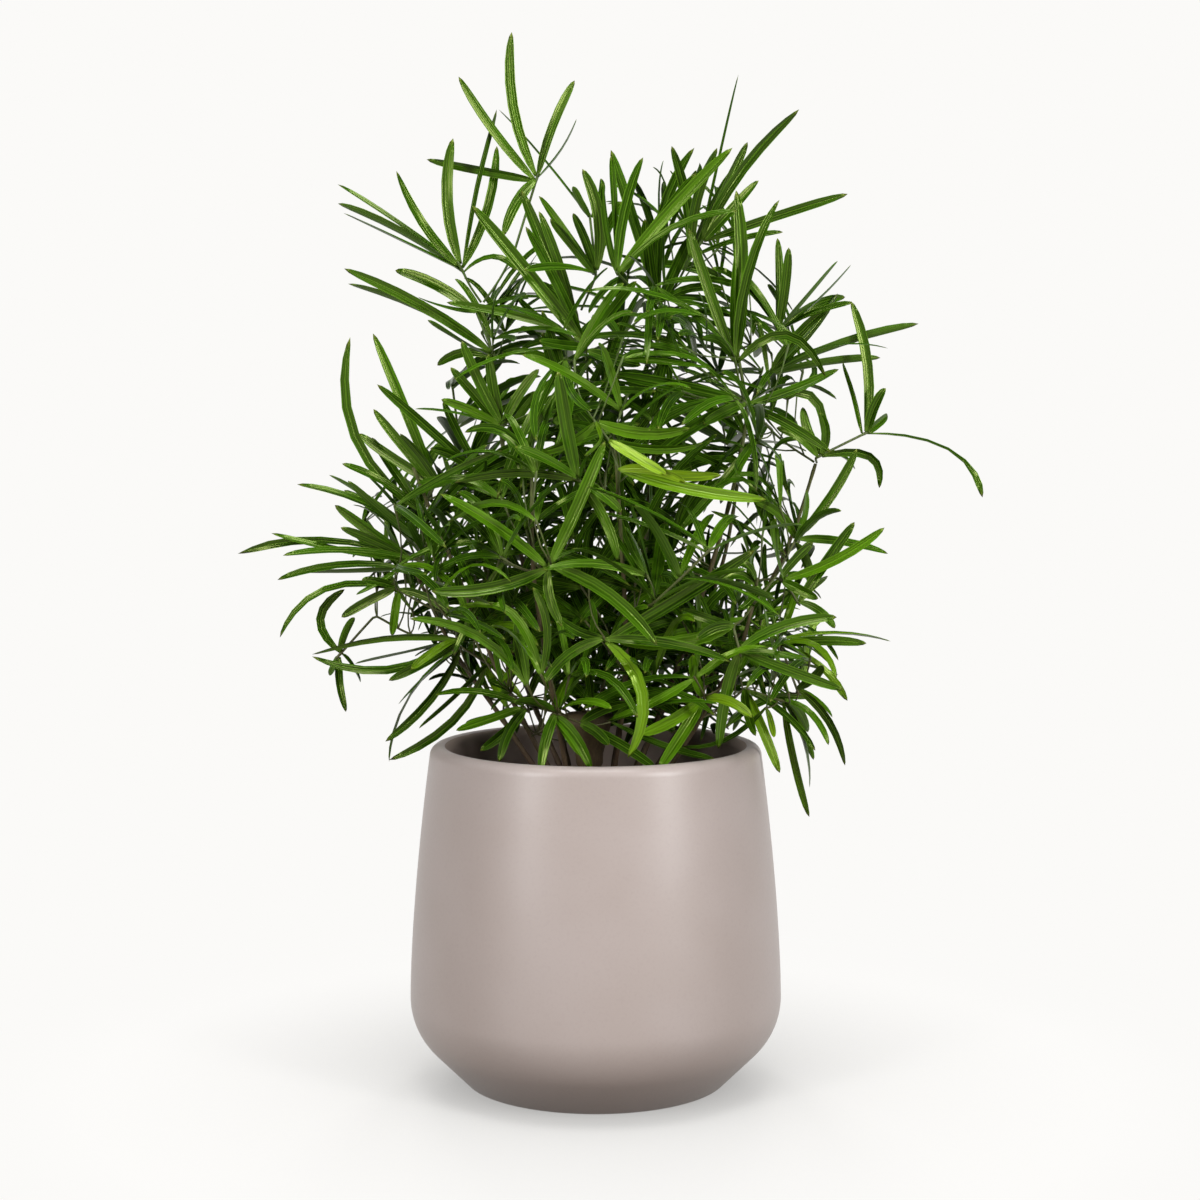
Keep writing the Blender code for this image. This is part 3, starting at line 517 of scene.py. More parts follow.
class BladePattern:
    """The cut of every blade: 1 long, 1 wide, a lens in section, closed, in 40 faces."""

    ROWS = ((0.0, 0.34), (0.04, 0.46), (0.10, 0.72), (0.20, 0.92), (0.34, 1.0), (0.50, 1.0), (0.66, 1.0),
            (0.80, 0.92), (0.90, 0.73), (0.965, 0.43), (1.0, 0.0))  # place along, share of the width
    THICK = 0.45 * MM
    TAPER = 0.6  # the share of its thickness that a blade loses to its tip

    def __init__(self) -> None:
        """Cut the upper and the lower face and close them along the edge."""
        bm = bmesh.new()
        bm.loops.layers.uv.new("blade")
        bm.loops.layers.float_color.new("tone")
        uv, tone = bm.loops.layers.uv["blade"], bm.loops.layers.float_color["tone"]
        last = len(self.ROWS) - 1
        bmesh.ops.create_grid(bm, x_segments=2, y_segments=last, size=0.5)
        for vert in bm.verts:
            row = round((vert.co.y + 0.5) * last)
            vert.co = (vert.co.x * self.ROWS[row][1], self.ROWS[row][0], 0)
        for face in bm.faces:
            for loop in face.loops:
                width = dict(self.ROWS)[round(loop.vert.co.y, 6)] if loop.vert.co.y < 1 else 1
                loop[uv].uv = (loop.vert.co.x / width + 0.5, loop.vert.co.y)
                loop[tone] = (0, 0, 0, 1)
        below = bmesh.ops.duplicate(bm, geom=[*bm.verts, *bm.edges, *bm.faces])["geom"]
        lower = [f for f in below if isinstance(f, bmesh.types.BMFace)]
        bmesh.ops.reverse_faces(bm, faces=lower)
        for face in lower:
            for loop in face.loops:
                loop[tone] = (0, 1, 0, 1)
        for vert in {v for f in lower for v in f.verts}:
            vert.co.z = -1 if abs(vert.co.x) < TINY and vert.co.y < 1 else 0
        bmesh.ops.remove_doubles(bm, verts=bm.verts, dist=TINY)
        bmesh.ops.holes_fill(bm, edges=[e for e in bm.edges if e.is_boundary], sides=6)
        for edge in bm.edges:
            on_midrib = [abs(v.co.x) < TINY for v in edge.verts]
            is_upper = sum(v.co.z for v in edge.verts) > -TINY
            edge.smooth = any(on_midrib) and not (all(on_midrib) and is_upper)
        for face in bm.faces:
            face.smooth = True
        self.mesh = meshed(bm, "cladode_pattern")

    def cut(self, bm: bmesh.types.BMesh, blade: Blade) -> None:
        """Lay a copy of the pattern along a blade.

        Args:
            bm: The mesh of the piece that the blade belongs to.
            blade: Where the blade goes and how it curves.
        """
        verts, faces = len(bm.verts), len(bm.faces)
        bm.from_mesh(self.mesh)
        bm.verts.ensure_lookup_table()
        bm.faces.ensure_lookup_table()
        for vert in bm.verts[verts:]:
            x, t, z = vert.co
            across, normal = blade.sides(t)
            lift = abs(x) * blade.fold * blade.width + z * self.THICK * (1 - self.TAPER * t)
            vert.co = blade.point(t) + across * (x * blade.width) + normal * lift
        tone = bm.loops.layers.float_color["tone"]
        for face in bm.faces[faces:]:
            face.material_index = int(blade.inner)
            for loop in face.loops:
                loop[tone] = (blade.age, loop[tone][1], blade.chance, 1)

    def surface(self, blade: Blade, foot: float) -> Shape:
        """The finished blade without its foot, to test what it crosses.

        Args:
            blade: The blade.
            foot: How much is left out at its base, where the blades of a whorl meet.

        Returns:
            Its surface.
        """
        bm = bmesh.new()
        self.cut(bm, blade)
        bm.verts.index_update()
        faces = [tuple(v.index for v in f.verts) for f in bm.faces
                 if (f.calc_center_median() - blade.base).length > foot]
        shape = Shape([v.co.copy() for v in bm.verts], faces)
        bm.free()
        return shape


class PackedSolid:
    """A copy of a CAD node's mesh, read ring by ring."""

    CANE_SIDES = 6
    TWIG_SIDES = 5
    LEAF_SIDES = 4
    STATIONS = {2: (0.34, 0.70), 4: (0.25, 0.48, 0.68, 0.86)}  # the places of a leaf's 2 or 4 sections
    SHARES = {2: (0.50, 0.44), 4: (0.50, 0.50, 0.46, 0.30)}  # its half width there, as a share
    CAP_AREA = 7 * MM**2  # the ends of a stem are smaller

    def __init__(self, node: str, around: int) -> None:
        """Weld the node's triangles and find its blades and its stem.

        Args:
            node: The CAD node's name.
            around: The number of corners round its stem.
        """
        bm = bmesh.new()
        bm.from_mesh(frame["nodes"][node].data)
        bmesh.ops.remove_doubles(bm, verts=bm.verts, dist=2 * TINY)
        bm.verts.index_update()
        bm.verts.ensure_lookup_table()
        leafy: set = set()
        self.blades = []
        for tip in [v for v in bm.verts if self.is_tip(v)]:
            rings = self.rings_from({e.other_vert(tip) for e in tip.link_edges}, {tip}, self.LEAF_SIDES)
            leafy |= {tip}.union(*rings[:-1])
            self.blades.append(self.blade(tip.co.copy(), rings[::-1]))
        flat = bm.copy()
        bmesh.ops.dissolve_limit(flat, angle_limit=math.radians(0.1), verts=[], edges=flat.edges)
        caps = [f for f in flat.faces if len(f.verts) == around and f.calc_area() < self.CAP_AREA]
        foot = {bm.verts[v.index] for v in max(caps, key=lambda f: f.calc_area()).verts}
        flat.free()
        rings = self.rings_from(foot, leafy, around)
        route = [sum((v.co for v in ring), Vector()) / around for ring in rings]
        radii = [sum((v.co - at).length for v in ring) / around for ring, at in zip(rings, route)]
        self.stem = Stem(route, radii)
        bm.free()

    @staticmethod
    def is_tip(vert: bmesh.types.BMVert) -> bool:
        """Tell whether a vertex is the point of a blade."""
        ways = [(e.other_vert(vert).co - vert.co).normalized() for e in vert.link_edges]
        return len(ways) == 4 and all(a.dot(b) > 0.5 for a, b in itertools.combinations(ways, 2))

    @staticmethod
    def rings_from(ring: set, known: set, count: int) -> list[list]:
        """Walk from a ring of vertices to the next, as long as the rings have as many.

        Args:
            ring: The first ring.
            known: Vertices that aren't walked to.
            count: The number of vertices in every ring.

        Returns:
            The rings, the first one included, each in the order of its vertices in the mesh.
        """
        rings, known = [], set(known)
        while len(ring) == count:
            rings.append(sorted(ring, key=lambda v: v.index))
            known |= ring
            ring = {e.other_vert(v) for v in ring for e in v.link_edges} - known
        return rings

    @staticmethod
    def blade(tip: Vector, rings: list[list]) -> Blade:
        """Read a blade's curve, width and upper side from its rings.

        Args:
            tip: The blade's point.
            rings: Its socket on the twig, then its sections.

        Returns:
            The blade.
        """
        socket, *sections = ([v.co.copy() for v in ring] for ring in rings)
        base = sum(socket, Vector()) / len(socket)
        controls, widths, normal = [], [], Vector()
        stations, shares = PackedSolid.STATIONS[len(sections)], PackedSolid.SHARES[len(sections)]
        for corners, t, share in zip(sections, stations, shares):
            corner = corners[0]
            over, beside = sorted(corners[1:], key=lambda c: (c - corner).length)[:2]
            at = sum(corners, Vector()) / len(corners)
            controls.append((at - base * (1 - t) ** 2 - tip * t**2) / (2 * t * (1 - t)))
            widths.append((beside - corner).length / (2 * share))
            way = (over - corner).normalized()
            normal += way if way.dot(Vector((0, -0.6, 1))) > 0 else -way
        control = sum(controls, Vector()) / len(controls)
        return Blade(base, control, tip, normal.normalized(), sum(widths) / len(widths))


@dataclass
class Canopy:
    """The leafy volume that the crown fills."""

    LEVELS = (  # height, then left, right, front and back, in mm
        (176, -62, 96, -78, 78), (193, -80, 122, -92, 92), (219, -92, 132, -102, 102),
        (246, -130, 130, -106, 108), (272, -138, 124, -110, 110), (299, -138, 118, -110, 112),
        (325, -130, 118, -110, 112), (348, -76, 116, -106, 110), (372, -52, 122, -98, 104),
        (392, -72, 122, -90, 94), (425, -84, 104, -76, 80), (448, -34, 84, -60, 62),
        (480, -8, 72, -44, 46), (494, 8, 56, -24, 24))
    SQUARENESS = 2.4  # 2 would give ellipses as its level sections

    def holds(self, point: Vector, share: float = 1.0) -> bool:
        """Tell whether a point lies inside.

        Args:
            point: The point to test.
            share: 1 for the whole canopy, and less for its inner part.

        Returns:
            True where it does.
        """
        z = point.z / MM
        for low, high in zip(self.LEVELS, self.LEVELS[1:]):
            if low[0] <= z <= high[0]:
                t = (z - low[0]) / (high[0] - low[0])
                left, right, front, back = (a + (b - a) * t for a, b in zip(low[1:], high[1:]))
                x = (point.x / MM - (left + right) / 2) / ((right - left) / 2)
                y = (point.y / MM - (front + back) / 2) / ((back - front) / 2)
                return abs(x) ** self.SQUARENESS + abs(y) ** self.SQUARENESS < share
        return False


@dataclass
class Spray:
    """A twig with its side shoots and all their blades, which stand for one CAD node."""

    node: str
    growth: Growth
    stems: list[Stem]
    blades: list[Blade]
    solid_blades: int  # how many of its blades are in the solid, and come first

    def build(self, pattern: BladePattern, skins: tuple[bpy.types.Material, bpy.types.Material],
              bark: bpy.types.Material) -> bpy.types.Object:
        """Make the spray's piece.

        Args:
            pattern: The cut of the blades.
            skins: The material of the outer blades, and its duller copy for the inner blades as painted
                shade.
            bark: The stems' material.

        Returns:
            The finished piece.
        """
        shoots = bmesh.new()
        for stem in self.stems:
            stem.grow(shoots)
        for face in shoots.faces:
            face.material_index = 2
            face.smooth = True
        bm = bmesh.new()
        for blade in self.blades:
            pattern.cut(bm, blade)
        bm.from_mesh(meshed(shoots, self.node + "_shoots"))
        return finished(bm, "fine_" + self.node, "spray_foliage", (*skins, bark), self.node)


def meshed(bm: bmesh.types.BMesh, name: str) -> bpy.types.Mesh:
    """Turn a bmesh into a mesh.

    Args:
        bm: The bmesh, which is freed.
        name: The mesh's name.

    Returns:
        The mesh.
    """
    mesh = bpy.data.meshes.new(name)
    bm.to_mesh(mesh)
    bm.free()
    return mesh


def placed(name: str, data: bpy.types.ID) -> bpy.types.Object:
    """Put something into the scene.

    Args:
        name: Its name.
        data: Its mesh, lamp or camera.

    Returns:
        Its object.
    """
    thing = bpy.data.objects.new(name, data)
    bpy.context.scene.collection.objects.link(thing)
    return thing


def finished(bm: bmesh.types.BMesh, name: str, slot: str, materials: Iterable[bpy.types.Material],
             *nodes: str) -> bpy.types.Object:
    """Turn a mesh into a piece of the plant that stands for CAD nodes.

    Args:
        bm: The mesh, which is freed.
        name: The piece's name.
        slot: The record's material slot; not used.
        materials: The piece's materials.
        nodes: The CAD nodes it stands for.

    Returns:
        The piece.
    """
    mesh = meshed(bm, name)
    for material in materials:
        mesh.materials.append(material)
    piece = placed(name, mesh)
    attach(piece, "root")
    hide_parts(*nodes)
    log.info("%s: %d faces", name, len(mesh.polygons))
    return piece


def spun(section: Sequence[tuple[float, float]], around: int) -> bmesh.types.BMesh:
    """Spin a section round the upright axis into a closed skin.

    Args:
        section: The section, as radius and height.
        around: The number of steps round it.

    Returns:
        The mesh, with its faces in the order of their vertices.
    """
    bm = bmesh.new()
    verts = [bm.verts.new((r, 0, z)) for r, z in section]
    edges = [bm.edges.new(pair) for pair in zip(verts, verts[1:])]
    bmesh.ops.spin(bm, geom=verts + edges, cent=(0, 0, 0), axis=(0, 0, 1), dvec=(0, 0, 0), angle=math.tau,
                   steps=around, use_merge=True)
    bmesh.ops.remove_doubles(bm, verts=bm.verts, dist=TINY)
    bmesh.ops.recalc_face_normals(bm, faces=bm.faces)
    bm.verts.index_update()
    count = len(bm.verts)
    bm.faces.sort(key=lambda f: min(v.index for v in f.verts) * count + max(v.index for v in f.verts))
    return bm


@dataclass(frozen=True)
class Lobe:
    """A part of the crown that side shoots fill."""

    centre: tuple[float, float, float]  # in mm
    reach: tuple[float, float, float]  # half its width, depth and height, in mm
    shoots: int
    lift: float  # how far its blades turn up, as a share of their length
    curl: float = 1.0  # how much they curl, against the crown's own
    width: float = 1.0  # how wide they are, against the crown's own

    def pick(self, rng: random.Random) -> Vector:
        """Pick a place in it.

        Args:
            rng: The source of chance.

        Returns:
            A place anywhere in its ellipsoid.
        """
        while True:
            way = Vector((rng.uniform(-1, 1), rng.uniform(-1, 1), rng.uniform(-1, 1)))
            if way.length < 1:
                return Vector([(c + r * w) * MM for c, r, w in zip(self.centre, self.reach, way)])


@dataclass(frozen=True)
class RipenessAndPaintedLight:
    """How the tones of a spray's blades vary, on a scale from old (0) to young (1), with painted light:
    painted shade inside the crown and brighter blades lower down.
    """

    middle: float = 330 * MM  # the height where they don't vary with height
    span: float = 200 * MM  # the step in height that the words "a span" mean here
    lower: float = 0.09  # added a span lower: painted light, brighter blades low in the crown
    everywhere: float = -0.03  # added to every tone
    inside: float = -0.14  # added inside the crown: painted shade
    chance: float = 0.13  # the usual difference by chance,
    chance_lower_as_painted_light: float = 0.9  # the share by which it grows a span lower and shrinks a span higher, painted light for more bright blades low down,
    highest: float = -0.6  # up to here, in spans
    to_young: float = 1.9  # its factor where it makes a blade younger
    to_old: float = 1.3  # and where it makes a blade older
    most: float = 0.22  # the most that chance makes a blade younger
    most_lower_as_painted_light: float = 0.5  # and how much more that is a span lower, painted light for brighter blades low down

    def tone(self, growth: float, height: float, inner: bool, rng: random.Random) -> float:
        """Pick a blade's tone.

        Args:
            growth: Its spray's tone.
            height: The blade's height.
            inner: Whether it is inside the crown, where painted shade darkens it.
            rng: The source of chance.

        Returns:
            The tone, from 0 to 1.
        """
        # painted light: lower down the blades are brighter and vary more
        low = (self.middle - height) / self.span
        chance = rng.gauss(0, self.chance) * (1 + self.chance_lower_as_painted_light * max(low, self.highest))
        chance *= self.to_young if chance > 0 else self.to_old
        chance = min(self.most + max(0, low) * self.most_lower_as_painted_light, chance)
        # painted shade: blades inside the crown are darker
        depth = self.inside if inner else 0
        return min(1, max(0, growth + depth + low * self.lower + self.everywhere + chance))


@dataclass
class Crown:
    """All canes and sprays, thickened with side shoots."""

    LOBES = (
        Lobe((42, 0, 432), (48, 50, 40), 11, 0.40, width=0.85),  # the top
        Lobe((-60, 0, 400), (20, 30, 30), 5, 0.35, width=0.85),  # the upper left plume
        Lobe((40, 0, 380), (80, 85, 46), 47, 0.15),  # the upper middle
        Lobe((-103, 0, 296), (42, 60, 44), 21, 0.12, width=0.90),  # the left
        Lobe((-12, -30, 303), (56, 75, 54), 38, 0.0, curl=1.3),  # the middle
        Lobe((-84, 0, 258), (50, 80, 36), 15, -0.10, curl=1.4, width=0.85),  # the lower left
        Lobe((5, -20, 222), (66, 80, 46), 44, -0.08, curl=1.5),  # the lower middle
        Lobe((90, 0, 218), (48, 80, 40), 28, -0.12, curl=2.0, width=0.85),  # the lower right
        Lobe((108, 0, 335), (34, 50, 60), 11, 0.05, curl=2.2, width=0.75),  # the right
        Lobe((-42, 50, 285), (84, 50, 66), 34, 0.0, curl=1.3),  # the back
        Lobe((20, 45, 215), (100, 50, 40), 27, 0.0, curl=1.5, width=0.9),  # the lower back
    )
    core: float = 0.3  # the share of the canopy that is its inside, as Canopy.holds takes it
    edge: float = 0.85  # and the share that the hubs of side shoots stay in
    clearance: float = 0.1 * MM
    # side shoots
    hub_spacing: float = 12 * MM
    foot_spacing: float = 6 * MM  # between the places where side shoots may leave a twig
    tries: int = 60  # for each side shoot of a lobe
    climb: float = 1.6  # the nearer to 1, the more they go up rather than down
    shoot_length: tuple[float, float] = (8 * MM, 62 * MM)
    shoot_radii: tuple[float, ...] = (0.50 * MM, 0.42 * MM, 0.40 * MM, 0.42 * MM, 0.75 * MM, 0.3 * MM)
    bow: float = 0.10  # how far they curve, as a share of their length
    # their blades
    whorl: float = 8 * MM  # so near their base the finished blades of a whorl may touch,
    whorl_share: float = 0.16  # and while they grow, over this share of their length
    blades_each: tuple[int, int] = (4, 6)
    fewest_blades: int = 3
    blade_turn: float = 2.4  # from one blade to the next: the golden angle
    blade_spread: tuple[float, float] = (28, 82)  # degrees between blade and shoot
    blade_length: tuple[float, float] = (44 * MM, 76 * MM)
    blade_width: tuple[float, float] = (3.7 * MM, 5.1 * MM)
    blade_droop: tuple[float, float] = (0.02, 0.30)  # as a share of its length
    blade_bend: float = 0.10  # to the side, as a share of its length
    blade_twist: float = 0.4  # by chance, in radians from base to tip
    blade_fold: tuple[float, float] = (0.10, 0.45)
    youngest: float = 0.46  # their tone before it varies is at most this
    facing: tuple[float, float, float] = (0.0, -0.45, 0.75)  # the way to the light, which they face
    outward: float = 0.55  # how much they face outwards beside that
    stray: float = 0.3  # and how much chance turns them
    # the solids' own blades, canes and twigs
    forecourt: float = 70 * MM  # how deep a space side shoots leave open before a blade
    fullness: float = 1.14  # how much wider a blade is than its solid, which is flat
    cane_spacing: float = 5 * MM  # between the rings of a cane
    cane_sides: int = 10
    knot_every: int = 6  # rings
    knot: float = 1.16  # how much thicker a cane is there
    between_knots: float = 0.97
    twig_spacing: float = 3 * MM
    twig_foot: float = 1.2  # how far a twig enters its cane, in mm
    twig_foot_radius: float = 0.8 * MM
    twig_slimmer: float = 0.82
    seed: int = 29
    tones = {
        "spray_young_bright": Growth.YOUNG,
        **dict.fromkeys(("spray_left_bright", "spray_bright_top", "spray_long_light", "spray_crown"),
                        Growth.FRESH),
        **dict.fromkeys(("spray_back_low", "spray_back_middle", "spray_back_low_left", "spray_back_low_right",
                         "spray_left_inner"), Growth.OLD),
    }
    ripeness_and_painted_light: RipenessAndPaintedLight = RipenessAndPaintedLight()
    canopy: Canopy = field(default_factory=Canopy)
    room: Room = field(default_factory=Room)
    clear: Room = field(default_factory=Room)

    def __post_init__(self) -> None:
        """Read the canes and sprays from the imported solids."""
        self.rng = random.Random(self.seed)
        self.canes: dict[str, Stem] = {}
        self.sprays: dict[str, Spray] = {}
        for node in sorted(frame["nodes"]):
            if node.startswith("cane_"):
                self.canes[node] = PackedSolid(node, PackedSolid.CANE_SIDES).stem
            elif node.startswith("spray_"):
                solid = PackedSolid(node, PackedSolid.TWIG_SIDES)
                growth = self.tones.get(node, Growth.GROWN)
                self.sprays[node] = Spray(node, growth, [solid.stem], solid.blades, len(solid.blades))
        for stem in [*self.canes.values(), *(s.stems[0] for s in self.sprays.values())]:
            self.room.put(stem.tube(self.clearance))
        for spray in self.sprays.values():
            for blade in spray.blades:
                self.age(blade, spray.growth.value)
                self.room.put(blade.ribbon())
                blade.width *= self.fullness
                if spray.growth is not Growth.OLD:
                    self.clear.put(blade.forecourt(self.forecourt))

    def age(self, blade: Blade, growth: float) -> None:
        """Give a blade its tone, with painted shade inside the crown and painted light lower down, and its
        own fold and twist.

        Args:
            blade: The blade.
            growth: Its spray's tone.
        """
        middle = blade.point(0.6)
        # the blades inside the crown and all blades of old sprays are inner, which paints shade on them
        blade.inner = self.canopy.holds(middle, self.core) or growth == Growth.OLD.value
        blade.age = self.ripeness_and_painted_light.tone(growth, middle.z, blade.inner, self.rng)
        blade.chance = self.rng.random()
        blade.twist = self.rng.gauss(0, self.blade_twist)
        blade.fold = self.rng.uniform(*self.blade_fold)

    def thicken(self) -> None:
        """Grow side shoots wherever the crown is still thin."""
        shortest, longest = self.shoot_length
        feet = [(point, spray) for spray in self.sprays.values()
                for point in spray.stems[0].smoothed(self.foot_spacing).route[1:]]
        hubs = [spray.stems[0].route[-1] for spray in self.sprays.values()]
        for lobe in self.LOBES:
            grown = 0
            for _ in range(self.tries * lobe.shoots):
                if grown == lobe.shoots:
                    break
                hub = lobe.pick(self.rng)
                if not self.canopy.holds(hub, self.edge):
                    continue
                if any((hub - other).length < self.hub_spacing for other in hubs):
                    continue
                foot, spray = min(feet, key=lambda f: self.effort(hub - f[0]))
                if shortest < (hub - foot).length < longest and self.side_shoot(foot, hub, spray, lobe):
                    hubs.append(hub)
                    grown += 1
            log.info("lobe at %s: %d of %d side shoots", lobe.centre, grown, lobe.shoots)
        log.info("%d blades in all", sum(len(s.blades) for s in self.sprays.values()))

    def effort(self, way: Vector) -> float:
        """How hard a way is for a side shoot, which rather goes up than down."""
        return way.length * (self.climb - way.normalized().z)

    def side_shoot(self, foot: Vector, hub: Vector, spray: Spray, lobe: Lobe) -> bool:
        """Grow one side shoot with a whorl of blades, if there is room.

        Args:
            foot: Where it leaves its twig.
            hub: Where its whorl is.
            spray: The spray it belongs to.
            lobe: The part of the crown it fills.

        Returns:
            True where it found room for at least three blades.
        """
        way = hub - foot
        bow = Vector((self.rng.uniform(-1, 1), self.rng.uniform(-1, 1), -0.6)) * way.length * self.bow
        route = [foot.lerp(hub, t) + bow * 4 * t * (1 - t) for t in (0, 0.25, 0.5, 0.75, 1)]
        axis = (route[-1] - route[-2]).normalized()
        stem = Stem([*route, hub + axis * 2 * MM], [*self.shoot_radii], 6)
        if not self.room.is_free(stem.beyond_foot().tube(self.clearance * 1.5)):
            return False
        blades: list[Blade] = []
        ribbons: list[Shape] = []
        wanted = self.rng.randint(*self.blades_each)
        turn = self.rng.uniform(0, math.tau)
        for _ in range(wanted * 8):
            if len(blades) == wanted:
                break
            turn += self.blade_turn
            blade = self.side_blade(hub, axis, turn, lobe)
            ribbon = blade.ribbon(self.whorl_share)
            if (self.canopy.holds(blade.tip) and self.canopy.holds(blade.point(0.5))
                    and self.room.is_free(ribbon) and self.clear.is_free(ribbon)
                    and all(not ribbon.tree.overlap(other.tree) for other in ribbons)):
                self.age(blade, min(spray.growth.value, self.youngest))
                blades.append(blade)
                ribbons.append(blade.ribbon(self.whorl_share))
        if len(blades) < self.fewest_blades:
            return False
        self.room.put(stem.beyond_foot().tube(self.clearance))
        for blade in blades:
            self.room.put(blade.ribbon())
        spray.stems.append(stem)
        spray.blades += blades
        return True

    def side_blade(self, hub: Vector, axis: Vector, turn: float, lobe: Lobe) -> Blade:
        """Shape a blade of a side shoot: out of its hub, up, then drooping.

        Args:
            hub: The whorl's centre.
            axis: The way its shoot points.
            turn: The blade's place round the shoot.
            lobe: The part of the crown it fills.

        Returns:
            The blade.
        """
        rng = self.rng
        side = Matrix.Rotation(turn, 3, axis) @ axis.orthogonal().normalized()
        spread = math.radians(rng.uniform(*self.blade_spread))
        way = (axis * math.cos(spread) + side * math.sin(spread) + UP * lobe.lift).normalized()
        length = rng.uniform(*self.blade_length)
        droop = length * rng.uniform(*self.blade_droop) * lobe.curl
        base = hub + way * 0.5 * MM
        tip = base + way * length - UP * droop
        bend = side.cross(axis) * length * rng.gauss(0, self.blade_bend) * lobe.curl
        control = base + way * length * 0.52 + UP * droop * 0.4 + bend
        outward = Vector((hub.x, hub.y, 0)).normalized() * self.outward
        face = outward + Vector(self.facing) + Vector([rng.gauss(0, self.stray) for _ in range(3)])
        return Blade(base, control, tip, face.normalized(), rng.uniform(*self.blade_width) * lobe.width)

    def prune(self, pattern: BladePattern, canes: Iterable[Shape]) -> None:
        """Drop what grew through something: side shoots with a stem that does, then single side blades.

        Args:
            pattern: The cut of the blades.
            canes: The finished canes.
        """
        room = Room()
        solids = (frame["nodes"][node].data for node in ("planter", "potting_soil"))
        for shape in (*canes, *map(Shape.of, solids)):
            room.put(shape)
        for spray in self.sprays.values():
            first = spray.solid_blades
            for stem in spray.stems[1:]:
                if not room.is_free(stem.beyond_foot().tube(0)):
                    spray.stems.remove(stem)
                    hub = stem.route[-2]
                    spray.blades[first:] = [b for b in spray.blades[first:] if (b.base - hub).length > 1 * MM]
        for spray in self.sprays.values():
            for stem in spray.stems:
                room.put(stem.tube(0))
            for blade in spray.blades[:spray.solid_blades]:
                room.put(pattern.surface(blade, self.whorl))
        dropped = 0
        for spray in self.sprays.values():
            kept = spray.blades[:spray.solid_blades]
            for blade in spray.blades[spray.solid_blades:]:
                shape = pattern.surface(blade, self.whorl)
                if room.is_free(shape):
                    room.put(shape)
                    kept.append(blade)
            dropped += len(spray.blades) - len(kept)
            spray.blades = kept
        log.info("%d side blades dropped, %d blades and %d side shoots left", dropped,
                 sum(len(s.blades) for s in self.sprays.values()),
                 sum(len(s.stems) - 1 for s in self.sprays.values()))

    def build(self) -> None:
        """Make all pieces of the crown."""
        # the inner blades get a duller copy of the skin, with less reflection: painted shade inside the crown
        skins = (WaxyCladode("waxy_cladode_as_grown", 0.12, 1.45).make(),
                 WaxyCladode("cladode_in_painted_shade", 0.36, 1.45, wax=0.12).make())
        twig = StemSkin("green_twig_skin_as_grown", 0.55, 1.45, foot="#55502a", middle="#53602a",
                        top="#4f6f22").make()
        bark = StemSkin("cane_bark_as_grown", 0.68, 1.45).make()
        pattern = BladePattern()
        canes = []
        for node, cane in self.canes.items():
            stem = cane.smoothed(self.cane_spacing)
            stem.around = self.cane_sides
            for i in range(len(stem.radii)):
                is_knot = i % self.knot_every == self.knot_every // 2
                stem.radii[i] *= self.knot if is_knot else self.between_knots
            bm = bmesh.new()
            stem.grow(bm)
            for face in bm.faces:
                face.smooth = True
            canes.append(Shape.of(finished(bm, "fine_" + node, "cane_bark", (bark,), node).data))
        for spray in self.sprays.values():
            twig_solid = spray.stems[0]
            start, after = twig_solid.route[:2]
            foot = start - (after - start).normalized() * self.twig_foot * MM
            fine = Stem([foot, *twig_solid.route], [self.twig_foot_radius, *twig_solid.radii])
            fine = fine.smoothed(self.twig_spacing)
            fine.radii = [r * self.twig_slimmer for r in fine.radii]
            spray.stems[0] = fine
        self.prune(pattern, canes)
        for spray in self.sprays.values():
            spray.build(pattern, skins, twig)


